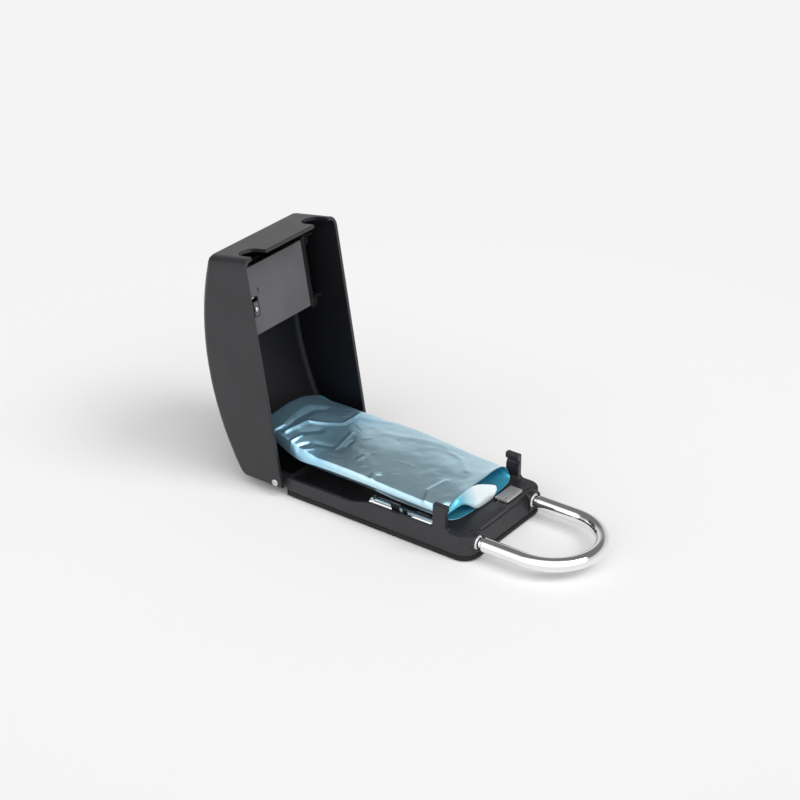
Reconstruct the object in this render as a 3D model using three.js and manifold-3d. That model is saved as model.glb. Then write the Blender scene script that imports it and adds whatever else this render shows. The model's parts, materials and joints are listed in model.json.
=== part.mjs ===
// Car key lockbox: a tray with a shackle and a hinged cover that carries a four-dial lock.
// Millimetres. +X runs along the tray towards the shackle, +Y across it, +Z up.
// The origin is the middle of the rubber pad's underside.

import * as THREE from 'three';
import { mergeVertices } from 'three/addons/utils/BufferGeometryUtils.js';
import Module from 'manifold-3d';

const wasm = await Module();
wasm.setup();

// Clearances
const GAP = 0.3; // between pieces that seat on each other
const RUN = 0.35; // round turning or sliding pieces
const TINY = 0.02; // shortest radius of an edge that is meant to be sharp

// Tray
const TRAY_LENGTH = 140;
const TRAY_WIDTH = 82.8;
const TRAY_REAR = -TRAY_LENGTH / 2;
const TRAY_FRONT = TRAY_LENGTH / 2;
const TRAY_HALF = TRAY_WIDTH / 2;
const TRAY_WALL = 2.5;
const TRAY_FLOOR = 1.5;
const PAD_THICKNESS = 3.5;
const PAD_RIM = 0.4; // how far the pad stands out round the tray
const PAD_CHAMFER = 0.8;
const FRONT_CORNER = 10;
const REAR_CORNER = 1.5;
const REAR_WALL_HEIGHT = 9.3; // above the pad, low so that the contents can be reached
const FRONT_WALL_HEIGHT = 13.5; // above the pad
const LOW_WALL = 44; // length of the low side wall, before it climbs
const WALL_RISE_START = TRAY_REAR + LOW_WALL;
const WALL_RISE_LENGTH = 26;
const DECK_LENGTH = 30;
const DECK_THICKNESS = 1.5;
const SHOULDER_RUN = 3.2; // how far the front leans back to the deck's edge
const SHOULDER_DROP = 4.4;

// Recessed front panel between the two legs
const BAY_WIDTH = 50;
const BAY_LEAN = 3.0; // how far the panel leans back at its top
const BAY_GROOVE = 1.3; // height of the shadow groove under the deck's lip
const BAY_LIP = 1.9; // height of the lip itself
const BAY_WALL = 2.6;
const DIMPLE_RADIUS = 1.1;
const DIMPLE_DEPTH = 0.5;
const DIMPLE_BACK = 10.5; // behind the tray's front
const DIMPLE_OUT = 3.5; // outside the leg's axis

// Shackle
const ROD_RADIUS = 4.65;
const LEG_INSET = 10.7; // from the tray's side to the leg's axis
const LEG_Y = TRAY_HALF - LEG_INSET;
const LEG_HEIGHT = 10.7; // axis above the floor
const LEG_OUTSIDE = 32.2; // straight part in front of the tray
const LEG_INSIDE = 80.6;
const BEND_START = TRAY_FRONT + LEG_OUTSIDE;
const LEG_TIP = TRAY_FRONT - LEG_INSIDE;
const TIP_RING = 2.3;
const TIP_GROOVE = 1.5;
const NECK_LENGTH = 2.9;
const NECK_DEPTH = 1.15;
const ROD_CHAMFER = 0.7;
const ROD_SIDES = 16;
const LEG_BOSS_WALL = 1.75; // metal round the leg's bore

// Catch hooks that stand on the tray
const HOOK_BACK = 16; // from the tray's front to the hook's front face
const HOOK_FRONT = TRAY_FRONT - HOOK_BACK;
const HOOK_WIDTH = 11;
const HOOK_TOP = 35;
const HOOK_HEAD = 4.6; // height of the head
const HOOK_STEM = 4.6; // thickness of the stem
const HOOK_REACH = 5.8; // thickness at the head
const HOOK_NOTCH = 1.6; // depth of the notch under the head
const HOOK_NOTCH_HEIGHT = 1.9;
const HOOK_LEDGE = 2.3; // height of the slanted ledge under the notch
const HOOK_ROUND = [1.4, 1.2]; // roundings of the head, outside and inside
const HOOK_CHAMFER = 0.9;

// Snap clips that hold the legs
const CLIP_BACK = 61.2;
const CLIP_REAR = TRAY_FRONT - CLIP_BACK;
const CLIP_LENGTH = 12.1;
const CLIP_SHEET = 0.8;
const CLIP_TALL = 21; // top of the tall tab
const CLIP_SHORT = 18.8; // top of the short tab
const CLIP_TALL_LENGTH = 6.2;
const CLIP_SLIT = 2.4;
const CLIP_FOOT = 8; // length of the foot that is riveted down
const CLIP_LIP = [1.4, 2.2]; // how far the inner lip leans over the leg, across and up
const RIVET_RADIUS = 1.2;
const RIVET_HEAD = 2.3;

// Thumb slide that frees the shackle
const SLIDE_SHEET = 1.7;
const SLIDE_BACK = 14.6; // from the tray's front to the rear face of the upright plate
const SLIDE_X = TRAY_FRONT - SLIDE_BACK;
const SLIDE_TAB = [LEG_Y - 22.7, LEG_Y - 5.7]; // across the tray
const SLIDE_TAB_LENGTH = 9.2;
const SLIDE_TAB_LIFT = 0.7; // above the deck
const SLIDE_NECK = 12;
const SLIDE_TRAVEL = 4;
const SLIDE_NEAR_END = -4;
const SLIDE_SPRING_LOW = -18; // face that the return spring pushes on
const GUIDE_SHEET = 1.2; // thickness of the two ribs that guide the plate
const GUIDE_HALF = 2; // half their width across the tray
const GUIDE_Y = [2, 21];
const GRIP_RADIUS = 0.9; // small hole in the tab

// Hinge
const HINGE_BACK = 6.2;
const HINGE_X = TRAY_REAR - HINGE_BACK;
const HINGE_Z = 8.9;
const HINGE_U = 3.9; // the axis seen from the cover: along the rim
const HINGE_D = 5.3; // and behind the rim
const OPEN_ANGLE = 99.6;
const LUG_RADIUS = 3.4;
const LUG_WIDTH = 6.6;
const PIN_RADIUS = 1.7;
const PIN_HEAD = 2.4;
const PIN_HEAD_DEPTH = 0.8;

// Cover, drawn shut: u along the rim from the hinge end, d behind the rim
const SIDE_WALL = 2.5;
const BACK_WALL = 2.6;
const END_WALL = 2.4;
const COVER_ROOM = 2.1; // between the tray's side and the cover's wall
const COVER_OVERHANG = 3.3; // beyond the tray's front
const COVER_LENGTH = TRAY_FRONT + COVER_OVERHANG - HINGE_X + HINGE_U;
const COVER_WIDTH = TRAY_WIDTH + 2 * (COVER_ROOM + SIDE_WALL);
const COVER_DEPTH = 48.1;
const CROWN_RADIUS = 188;
const CROWN_SHIFT = 1.7; // from the middle towards the hinge, where the cover is deepest
const CROWN_U = COVER_LENGTH / 2 - CROWN_SHIFT;
const END_DRAFT = 9.4; // degrees that the hinge end leans
const LOWER_CORNER = 9;
const UPPER_CORNER = 3.2;
const EDGE_SIDE = 7; // rounding of the long edges, across
const EDGE_BACK = 5.5; // and in depth
const EDGE_TOP = 8; // and at the shackle end
const EDGE_HINGE = 1.2; // and at the hinge end
const LEG_NOTCH = 6.9; // half width of the cut-out over each leg

// Dials
const DIAL_BACK = 45.4; // from the cover's shackle end to the dials' axis
const DIAL_U = COVER_LENGTH - DIAL_BACK;
const DIAL_COUNT = 4;
const DIAL_RADIUS = 10.8;
const DIAL_WIDTH = 7.5;
const DIAL_PITCH = 12;
const DIAL_PROUD = 1.5; // how far the wheels stand out of the cover's back
const DIAL_BORE = 4.3;
const DIAL_FLATS = 10;
const DIAL_GROOVE = 0.7;
const DIAL_CLEARANCE = 0.45;

// Mechanism plate
const PLATE_BELOW = 12; // from the dials' axis towards the hinge
const PLATE_ABOVE = 32.4;
const PLATE_LOW = DIAL_U - PLATE_BELOW;
const PLATE_HIGH = DIAL_U + PLATE_ABOVE;
const PLATE_D = 16.2; // face towards the rim
const PLATE_SHEET = 1.6;
const EAR_RADIUS = 3.8;
const EAR_INSET = 1.2;
const POST_RADIUS = 2.7;
const GUSSET_HALF = 0.9;
const SCREW_RADIUS = 1.3;
const SCREW_HEAD = 2.5;
const SCREW_HEAD_HEIGHT = 1.1;
const SCREW_LENGTH = 9;
const SCREW_SINK = 0.8; // depth of the recess in an ear

// Gates, one beside each dial
const GATE_RADIUS = 6;
const GATE_DISC = 2;
const GATE_HUB = 3.3;
const GATE_HUB_LENGTH = 5;
const GATE_NOTCH = 3;
const GATE_NOTCH_DEPTH = 2.2;
const DOG_REACH = 1;
const DOG_WIDTH = 1.6;
const AXLE_RADIUS = 1.9;

// Reset slider, which draws the gates out of the dials
const RESET_SHIFT = 1.5;
const RESET_SLOT = [DIAL_U - 0.7, DIAL_U + 12.6, -27.8, -20.7]; // u from, u to, y from, y to
const RESET_BLOCK = 9.4; // length of the block in the slot
const RESET_SCREW = 1.7;
const CARRIER_SHEET = 1.5;
const CARRIER_HALF = 4.2;
const CARRIER_FOOT = 6.7;

// Dial frame and detent spring
const FRAME_SHEET = 1.5;
const FRAME_RISE = 2.65; // above the latch plate
const FRAME_LOW = DIAL_U - 13.5;
const FRAME_HIGH = DIAL_U + 5.8;
const CHEEK_HALF = 7;
const CHEEK_FOOT = 4; // height of the cheek where it runs on to its foot
const FOOT_LENGTH = 6;
const FRAME_SCREW_U = DIAL_U + 15.7;
const FRAME_SCREW_Y = 19;
const DETENT_SHEET = 0.5;
const DETENT_WIDTH = 5;

// Latch slide, its springs and the release button
const LATCH_SHEET = 1.5;
const LATCH_LOW = DIAL_U + 5;
const LATCH_HIGH = DIAL_U + 28;
const LATCH_WIDTH = 35;
const WING_LOW = DIAL_U + 11;
const WING_HIGH = DIAL_U + 19;
const WING_BITE = 1; // how far the wing reaches into the hook's notch
const WING_REACH = TRAY_HALF - HOOK_STEM + WING_BITE;
const LATCH_TRAVEL = 4.2;
const FENCE_THICKNESS = 1.6;
const FENCE_LENGTH = 1.8;
const BUTTON_U = DIAL_U + 23;
const BUTTON_WIDTH = 20;
const BUTTON_LENGTH = 8;
const BUTTON_PROUD = 3.9;
const BUTTON_TRAVEL = 3.4;
const BUTTON_STEM = 6.5;
const BUTTON_FLANGE = 1.2;
const SPRING_RADIUS = 1.4;
const SPRING_WIRE = 0.25;
const SPRING_TURNS = 5;
const SPRING_Y = 12;
const SPRING_TAB_HALF = 2.4;
const SPRING_LOW = DIAL_U - 10;

// Foil pouch: stations along it, each with its share of the way to the mouth and its heights
// above the deck of the near edge, the crown, the far edge, the near edge's underside and the bottom
const POUCH_BEHIND = 24.3; // behind the hinge
const POUCH_SHORT = 18.5; // behind the tray's front
const POUCH_REAR = HINGE_X - POUCH_BEHIND;
const POUCH_MOUTH = TRAY_FRONT - POUCH_SHORT;
const POUCH_ROOM = 1.2; // beside the hooks' heads
const POUCH_HALF_WIDTH = TRAY_HALF - HOOK_REACH - POUCH_ROOM;
const POUCH_STATIONS = [
  [0, 16.6, 20.8, 11.6, 15.6, 14.4],
  [0.03, 18.6, 23.8, 12.4, 16.6, 13.6],
  [0.1, 19.8, 23, 12.4, 15, 10.4],
  [0.174, 18.4, 20.5, 12.4, 9.6, 5.5],
  [0.24, 15.3, 18.3, 12.4, 6.6, 2.4],
  [0.32, 12.7, 16.8, 12.5, 7.7, 0.8],
  [0.42, 13.4, 16.5, 12.6, 7.9, 0.3],
  [0.6, 12.4, 15.3, 12.2, 7.7, 0.3],
  [0.78, 11.1, 14.4, 10, 7.2, 0.3],
  [0.93, 11.3, 14, 8.6, 6.6, 0.3],
  [1, 11, 14, 8.4, 5, 0.3],
];
const POUCH_WALL = 0.7;
const POUCH_MOUTH_DEPTH = 16;
const POUCH_MOUTH_BOW = 3;
const POUCH_MOUTH_LEAN = 4; // how far the rim leans back at its top
const POUCH_TONGUE = [-12.5, 8]; // the folded-down flap of the upper film, across

// Sizes that follow
const FLOOR_TOP = PAD_THICKNESS + TRAY_FLOOR;
const REAR_TOP = PAD_THICKNESS + REAR_WALL_HEIGHT;
const DECK_TOP = PAD_THICKNESS + FRONT_WALL_HEIGHT;
const DECK_REAR = TRAY_FRONT - DECK_LENGTH;
const COVER_HALF = COVER_WIDTH / 2;
const COVER_INNER = COVER_HALF - SIDE_WALL;
const PLATE_BACK = PLATE_D + PLATE_SHEET;
const LATCH_D = PLATE_BACK + RUN;
const LATCH_TOP = LATCH_D + LATCH_SHEET;
const FRAME_D = LATCH_TOP + FRAME_RISE;
const crownDepth = (u) => COVER_DEPTH - CROWN_RADIUS + Math.sqrt(CROWN_RADIUS ** 2 - (u - CROWN_U) ** 2);
const DIAL_D = crownDepth(DIAL_U) + DIAL_PROUD - DIAL_RADIUS;
const DIAL_SPAN = (DIAL_COUNT - 1) * DIAL_PITCH + DIAL_WIDTH;
const FAR_CHEEK = DIAL_SPAN / 2 + DIAL_CLEARANCE;
const NEAR_CHEEK = -DIAL_SPAN / 2 - GAP - GATE_DISC - RESET_SHIFT - DIAL_CLEARANCE;
const FRAME_HALF = FRAME_SHEET - NEAR_CHEEK;
const EAR_Y = FRAME_HALF + SCREW_HEAD + 0.5;
const PLATE_WIDTH = 2 * EAR_Y + 1;
const WING_LEG_Y = FRAME_HALF + LATCH_SHEET + 1; // outer face of the upright leg

// Finishes
const finish = (color, roughness, metalness) => (
  new THREE.MeshStandardMaterial({ color, roughness, metalness }));
const BLACK_COAT = finish(0x343336, 0.5, 0.1);
const BLACK_RUBBER = finish(0x1c1a1b, 0.85, 0);
const PLATE_GREY = finish(0x4c4b4f, 0.5, 0.1);
const CHROME = finish(0xe6e6e8, 0.08, 1);
const STEEL = finish(0xb9b6b4, 0.3, 1);
const DARK_STEEL = finish(0x1d1d1f, 0.4, 0.6);
const BRASS = finish(0xc9a961, 0.35, 1);
const BLACK_PLASTIC = finish(0x232325, 0.5, 0);
const FOIL = finish(0x7fa9bd, 0.28, 0.7);

// Solids

function signedVolume(positions, triangles) {
  const corner = [new THREE.Vector3(), new THREE.Vector3(), new THREE.Vector3()];
  let volume = 0;
  for (let i = 0; i < triangles.length; i += 3) {
    corner.forEach((point, j) => point.fromArray(positions, 3 * triangles[i + j]));
    volume += corner[0].dot(corner[1].cross(corner[2])) / 6;
  }
  return volume;
}

// A closed geometry as a solid that faces outwards
function solid(geometry) {
  const bare = new THREE.BufferGeometry();
  bare.setAttribute('position', geometry.getAttribute('position').clone());
  if (geometry.index) bare.setIndex(geometry.index.clone());
  const merged = mergeVertices(bare, 1e-4);
  const positions = new Float32Array(merged.getAttribute('position').array);
  const triangles = [];
  for (let i = 0; i < merged.index.count; i += 3) {
    const [a, b, c] = [0, 1, 2].map((j) => merged.index.getX(i + j));
    if (a !== b && b !== c && c !== a) triangles.push(a, b, c);
  }
  if (signedVolume(positions, triangles) < 0) triangles.reverse();
  const mesh = new wasm.Mesh({ numProp: 3, vertProperties: positions, triVerts: new Uint32Array(triangles) });
  return new wasm.Manifold(mesh);
}

function geometryOf(body) {
  const mesh = body.getMesh();
  const geometry = new THREE.BufferGeometry();
  geometry.setAttribute('position', new THREE.BufferAttribute(new Float32Array(mesh.vertProperties), 3));
  geometry.setIndex(new THREE.BufferAttribute(new Uint32Array(mesh.triVerts), 1));
  geometry.computeVertexNormals();
  return geometry;
}

const joined = (bodies) => bodies.reduce((whole, body) => whole.add(body));
const cut = (body, tools) => tools.reduce((rest, tool) => rest.subtract(tool), body);

function block([xLow, yLow, zLow], [xHigh, yHigh, zHigh]) {
  const geometry = new THREE.BoxGeometry(xHigh - xLow, yHigh - yLow, zHigh - zLow);
  geometry.translate((xLow + xHigh) / 2, (yLow + yHigh) / 2, (zLow + zHigh) / 2);
  return solid(geometry);
}

// A flat outline drawn in two axes and extruded along the third
const DRAWN_ON = {
  x: new THREE.Matrix4().makeBasis(
    new THREE.Vector3(0, 1, 0), new THREE.Vector3(0, 0, 1), new THREE.Vector3(1, 0, 0)),
  y: new THREE.Matrix4().makeBasis(
    new THREE.Vector3(1, 0, 0), new THREE.Vector3(0, 0, 1), new THREE.Vector3(0, -1, 0)),
  z: new THREE.Matrix4(),
};

function prism(axis, outline, low, high) {
  const shape = outline instanceof THREE.Shape ? outline : new THREE.Shape(outline);
  const settings = { depth: high - low, bevelEnabled: false, curveSegments: 6 };
  const geometry = new THREE.ExtrudeGeometry(shape, settings);
  geometry.applyMatrix4(DRAWN_ON[axis]);
  const start = axis === 'y' ? high : low;
  const shift = { x: [start, 0, 0], y: [0, start, 0], z: [0, 0, start] }[axis];
  geometry.translate(...shift);
  return solid(geometry);
}

// A profile of [radius, distance] pairs turned about a line along an axis through a point
const TURNED_TO = {
  x: new THREE.Matrix4().makeRotationZ(-Math.PI / 2),
  y: new THREE.Matrix4(),
  z: new THREE.Matrix4().makeRotationX(Math.PI / 2),
};

function turned(axis, [x, y, z], profile, sides = 24) {
  const points = profile.map(([radius, along]) => new THREE.Vector2(radius, along));
  const geometry = new THREE.LatheGeometry(points, sides);
  geometry.applyMatrix4(TURNED_TO[axis]);
  geometry.translate(x, y, z);
  return solid(geometry);
}

function rod(axis, centre, radius, low, high, sides = 24) {
  return turned(axis, centre, [[0, low], [radius, low], [radius, high], [0, high]], sides);
}

// Outline points

const point = (x, y) => new THREE.Vector2(x, y);
const radians = THREE.MathUtils.degToRad;

function arc(centreX, centreY, radius, fromDegrees, toDegrees, steps) {
  return Array.from({ length: steps + 1 }, (_, i) => {
    const angle = radians(fromDegrees + ((toDegrees - fromDegrees) * i) / steps);
    return point(centreX + radius * Math.cos(angle), centreY + radius * Math.sin(angle));
  });
}

// A rectangle whose corners have their own radii: low-low, high-low, high-high, low-high
function roundedRectangle(xLow, yLow, xHigh, yHigh, corners) {
  const [a, b, c, d] = corners.map((radius) => Math.max(radius, TINY));
  return [
    ...arc(xLow + a, yLow + a, a, 180, 270, 6),
    ...arc(xHigh - b, yLow + b, b, 270, 360, 6),
    ...arc(xHigh - c, yHigh - c, c, 0, 90, 6),
    ...arc(xLow + d, yHigh - d, d, 90, 180, 6),
  ];
}

// A strip of even thickness that follows a bent line, as folded sheet does
function ribbon(line, thickness) {
  const directions = line.slice(1).map((end, i) => end.clone().sub(line[i]).normalize());
  const side = line.map((corner, i) => {
    const before = directions[Math.max(i - 1, 0)];
    const after = directions[Math.min(i, directions.length - 1)];
    const normal = point(-before.y - after.y, before.x + after.x).normalize();
    const widening = 1 / (-before.y * normal.x + before.x * normal.y);
    return normal.multiplyScalar((widening * thickness) / 2);
  });
  const left = line.map((corner, i) => corner.clone().add(side[i]));
  const right = line.map((corner, i) => corner.clone().sub(side[i]));
  return [...left, ...right.reverse()];
}

// A closed skin through rings of points, with its two ends filled
function loft(rings) {
  const sides = rings[0].length;
  const positions = rings.flat().flatMap((corner) => [corner.x, corner.y, corner.z]);
  const triangles = [];
  for (let r = 0; r + 1 < rings.length; r += 1) {
    for (let i = 0; i < sides; i += 1) {
      const next = (i + 1) % sides;
      const [a, b, c, d] = [r * sides + i, r * sides + next, (r + 1) * sides + next, (r + 1) * sides + i];
      triangles.push(a, b, c, a, c, d);
    }
  }
  const last = (rings.length - 1) * sides;
  for (let i = 1; i + 1 < sides; i += 1) {
    triangles.push(0, i + 1, i);
    triangles.push(last, last + i, last + i + 1);
  }
  const geometry = new THREE.BufferGeometry();
  geometry.setAttribute('position', new THREE.Float32BufferAttribute(positions, 3));
  geometry.setIndex(triangles);
  return solid(geometry);
}

function add(parent, name, body, material) {
  const mesh = new THREE.Mesh(geometryOf(body), material);
  mesh.name = name;
  parent.add(mesh);
  return mesh;
}

const SIDES = [['near', -1], ['far', 1]];

// Tray

function trayPlan(inset, front) {
  return roundedRectangle(
    TRAY_REAR + inset, -TRAY_HALF + inset, front - inset, TRAY_HALF - inset,
    [REAR_CORNER - inset, FRONT_CORNER - inset, FRONT_CORNER - inset, REAR_CORNER - inset]);
}

// The tray from the side: low at the hinge, climbing in a soft S, with a leaning front
function traySide() {
  const halfway = WALL_RISE_START + WALL_RISE_LENGTH / 2;
  const climb = new THREE.CubicBezierCurve(
    point(WALL_RISE_START, REAR_TOP), point(halfway, REAR_TOP),
    point(halfway, DECK_TOP), point(WALL_RISE_START + WALL_RISE_LENGTH, DECK_TOP));
  const shoulder = new THREE.QuadraticBezierCurve(
    point(TRAY_FRONT - SHOULDER_RUN, DECK_TOP),
    point(TRAY_FRONT - SHOULDER_RUN / 4, DECK_TOP - SHOULDER_DROP / 4),
    point(TRAY_FRONT, DECK_TOP - SHOULDER_DROP));
  return [
    point(TRAY_REAR - 1, PAD_THICKNESS), point(TRAY_REAR - 1, REAR_TOP),
    ...climb.getPoints(8), ...shoulder.getPoints(5), point(TRAY_FRONT, PAD_THICKNESS),
  ];
}

function hingeLug(side) {
  const outline = [
    point(TRAY_REAR + TRAY_WALL / 2, HINGE_Z - LUG_RADIUS),
    ...arc(HINGE_X, HINGE_Z, LUG_RADIUS, 270, 90, 12),
    point(TRAY_REAR + TRAY_WALL / 2, HINGE_Z + LUG_RADIUS),
  ];
  const outer = side * TRAY_HALF;
  const inner = side * (TRAY_HALF - LUG_WIDTH);
  return prism('y', outline, Math.min(inner, outer), Math.max(inner, outer));
}

function hookOutline() {
  const outer = TRAY_HALF;
  const headFace = outer - HOOK_REACH;
  const stemFace = outer - HOOK_STEM;
  const notchFace = stemFace + HOOK_NOTCH;
  const headBottom = HOOK_TOP - HOOK_HEAD;
  const ledge = headBottom - HOOK_NOTCH_HEIGHT;
  const [outside, inside] = HOOK_ROUND;
  return [
    point(outer, FLOOR_TOP), ...arc(outer - outside, HOOK_TOP - outside, outside, 0, 90, 4),
    ...arc(headFace + inside, HOOK_TOP - inside, inside, 90, 180, 4),
    point(headFace, headBottom + HOOK_CHAMFER), point(headFace + HOOK_CHAMFER, headBottom),
    point(notchFace, headBottom), point(notchFace, ledge),
    point(stemFace, ledge - HOOK_LEDGE), point(stemFace, FLOOR_TOP),
  ];
}

function catchHook(side) {
  const outline = hookOutline().map(({ x, y }) => point(side * x, y));
  return prism('x', outline, HOOK_FRONT - HOOK_WIDTH, HOOK_FRONT);
}

// The front panel leans back under a shadow groove and the deck's lip
function bayCut() {
  const grooveTop = DECK_TOP - BAY_LIP;
  const grooveBottom = grooveTop - BAY_GROOVE;
  const outline = [
    point(TRAY_FRONT - 0.1, PAD_THICKNESS - 1), point(TRAY_FRONT - BAY_LEAN, grooveBottom),
    point(TRAY_FRONT - BAY_LEAN - 0.8, grooveBottom), point(TRAY_FRONT - BAY_LEAN - 0.8, grooveTop),
    point(TRAY_FRONT - SHOULDER_RUN, grooveTop), point(TRAY_FRONT - SHOULDER_RUN, DECK_TOP + 1),
    point(TRAY_FRONT + 2, DECK_TOP + 1), point(TRAY_FRONT + 2, PAD_THICKNESS - 1),
  ];
  return prism('y', outline, -BAY_WIDTH / 2, BAY_WIDTH / 2);
}

function trayHollow() {
  const plan = trayPlan(TRAY_WALL, TRAY_FRONT - BAY_LEAN);
  const open = prism('z', plan, FLOOR_TOP, DECK_TOP + 1);
  const underDeck = prism('z', plan, FLOOR_TOP, DECK_TOP - DECK_THICKNESS);
  const deckPart = block([DECK_REAR, -TRAY_HALF, 0], [TRAY_FRONT + 1, TRAY_HALF, HOOK_TOP]);
  return open.subtract(deckPart).add(underDeck);
}

function legBosses() {
  return SIDES.map(([, side]) => rod('x', [0, side * LEG_Y, LEG_HEIGHT], ROD_RADIUS + LEG_BOSS_WALL,
    TRAY_FRONT - BAY_LEAN - TRAY_WALL, TRAY_FRONT + PAD_RIM / 2, 20));
}

function legBores() {
  return SIDES.map(([, side]) => rod('x', [0, side * LEG_Y, LEG_HEIGHT], ROD_RADIUS + RUN,
    DECK_REAR - 1, TRAY_FRONT + 2, 20));
}

// The slot that the thumb slide's neck passes, and the two ribs that guide its plate
function slideSlot() {
  const middle = (SLIDE_TAB[0] + SLIDE_TAB[1]) / 2;
  return block(
    [SLIDE_X - RUN, middle - SLIDE_NECK / 2 - SLIDE_TRAVEL - RUN, FLOOR_TOP + 1],
    [SLIDE_X + SLIDE_SHEET + RUN, middle + SLIDE_NECK / 2 + RUN, DECK_TOP + 1]);
}

function slideGuides() {
  const top = DECK_TOP - DECK_THICKNESS / 2;
  const foot = FLOOR_TOP - 0.5;
  const rear = [SLIDE_X - RUN - GUIDE_SHEET, SLIDE_X - RUN];
  const front = rear.map((x) => x + SLIDE_SHEET + 2 * RUN + GUIDE_SHEET);
  const guides = [rear, front].flatMap(([low, high]) => GUIDE_Y.map(
    (y) => block([low, y - GUIDE_HALF, foot], [high, y + GUIDE_HALF, top])));
  const springStop = block(
    [rear[0], SLIDE_SPRING_LOW - GUIDE_HALF, foot], [front[1], SLIDE_SPRING_LOW, top]);
  return [...guides, springStop];
}

// The wall behind the front panel
function frontWall() {
  const front = TRAY_FRONT - BAY_LEAN;
  return block([front - TRAY_WALL - BAY_WALL, -TRAY_HALF + TRAY_WALL, FLOOR_TOP - 0.5],
    [front, TRAY_HALF - TRAY_WALL, DECK_TOP - DECK_THICKNESS / 2]);
}

function trayHoles() {
  const pins = rod('y', [HINGE_X, 0, HINGE_Z], PIN_RADIUS + RUN, -TRAY_HALF - 1, TRAY_HALF + 1);
  const rivets = SIDES.map(([, side]) => rod('z', [...rivetPlace(side), 0],
    RIVET_RADIUS + GAP / 2, 0, FLOOR_TOP + 1, 16));
  const dimples = SIDES.map(([, side]) => rod(
    'z', [TRAY_FRONT - DIMPLE_BACK, side * (LEG_Y + DIMPLE_OUT), 0],
    DIMPLE_RADIUS, DECK_TOP - DIMPLE_DEPTH, DECK_TOP + 1, 16));
  return [bayCut(), ...legBores(), pins, slideSlot(), ...rivets, ...dimples];
}

function trayBody() {
  const outside = prism('z', trayPlan(0, TRAY_FRONT), PAD_THICKNESS, HOOK_TOP)
    .intersect(prism('y', traySide(), -TRAY_HALF - 1, TRAY_HALF + 1));
  const lugs = SIDES.map(([, side]) => hingeLug(side));
  const hooks = SIDES.map(([, side]) => catchHook(side));
  const shell = outside.subtract(trayHollow());
  const whole = joined([
    shell, frontWall().intersect(outside), ...legBosses(), ...hooks, ...lugs, ...slideGuides(),
  ]);
  return cut(whole, trayHoles());
}

function padBody() {
  const plan = trayPlan(-PAD_RIM, TRAY_FRONT);
  const rings = [[PAD_CHAMFER, 0], [0, PAD_CHAMFER], [0, PAD_THICKNESS]].map(([inset, height]) => {
    const shrinkX = 1 - inset / (TRAY_LENGTH / 2);
    const shrinkY = 1 - inset / TRAY_HALF;
    return plan.map(({ x, y }) => new THREE.Vector3(x * shrinkX, y * shrinkY, height));
  });
  return loft(rings);
}

// Shackle

function legProfile() {
  const ringEnd = LEG_TIP + TIP_RING;
  const grooveEnd = ringEnd + TIP_GROOVE;
  const neckStart = TRAY_FRONT + PAD_RIM;
  const neckEnd = neckStart + NECK_LENGTH;
  const neck = ROD_RADIUS - NECK_DEPTH;
  return [
    [0, LEG_TIP], [ROD_RADIUS - ROD_CHAMFER, LEG_TIP], [ROD_RADIUS, LEG_TIP + ROD_CHAMFER],
    [ROD_RADIUS, ringEnd], [neck, ringEnd], [neck, grooveEnd], [ROD_RADIUS, grooveEnd],
    [ROD_RADIUS, neckStart - ROD_CHAMFER], [neck, neckStart], [neck, neckEnd],
    [ROD_RADIUS - ROD_CHAMFER, neckEnd], [ROD_RADIUS, neckEnd + ROD_CHAMFER],
    [ROD_RADIUS, BEND_START], [0, BEND_START],
  ];
}

function shackleBend() {
  const section = new THREE.Shape(arc(0, 0, ROD_RADIUS, 0, 360, ROD_SIDES).slice(0, -1));
  const half = new THREE.CatmullRomCurve3(arc(BEND_START, 0, LEG_Y, -90, 90, 16)
    .map(({ x, y }) => new THREE.Vector3(x, y, LEG_HEIGHT)));
  return solid(new THREE.ExtrudeGeometry(section, { extrudePath: half, steps: 22, bevelEnabled: false }));
}

function shackleBody() {
  const legs = SIDES.map(([, side]) => turned('x', [0, side * LEG_Y, LEG_HEIGHT], legProfile(), ROD_SIDES));
  const seams = SIDES.map(([, side]) => rod('x', [0, side * LEG_Y, LEG_HEIGHT], ROD_RADIUS,
    BEND_START - 1, BEND_START + 0.2, ROD_SIDES));
  return joined([...legs, ...seams, shackleBend()]);
}

// A compression spring wound along an axis through a point
function coil(axis, [x, y, z], low, high) {
  const steps = SPRING_TURNS * 8;
  const [start, end] = [low + SPRING_WIRE, high - SPRING_WIRE];
  const turns = Array.from({ length: steps + 1 }, (_, i) => {
    const angle = (2 * Math.PI * SPRING_TURNS * i) / steps;
    const [a, b] = [SPRING_RADIUS * Math.cos(angle), SPRING_RADIUS * Math.sin(angle)];
    const along = start + ((end - start) * i) / steps;
    return axis === 'x' ? new THREE.Vector3(along, y + a, z + b) : new THREE.Vector3(x + a, along, z + b);
  });
  const section = new THREE.Shape(arc(0, 0, SPRING_WIRE, 0, 360, 5).slice(0, -1));
  const path = new THREE.CatmullRomCurve3(turns);
  return solid(new THREE.ExtrudeGeometry(section, { extrudePath: path, steps, bevelEnabled: false }));
}

// Snap clips

const rivetPlace = (side) => [CLIP_REAR + CLIP_LENGTH / 2, side * (LEG_Y - ROD_RADIUS - CLIP_FOOT * 0.75)];

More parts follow.
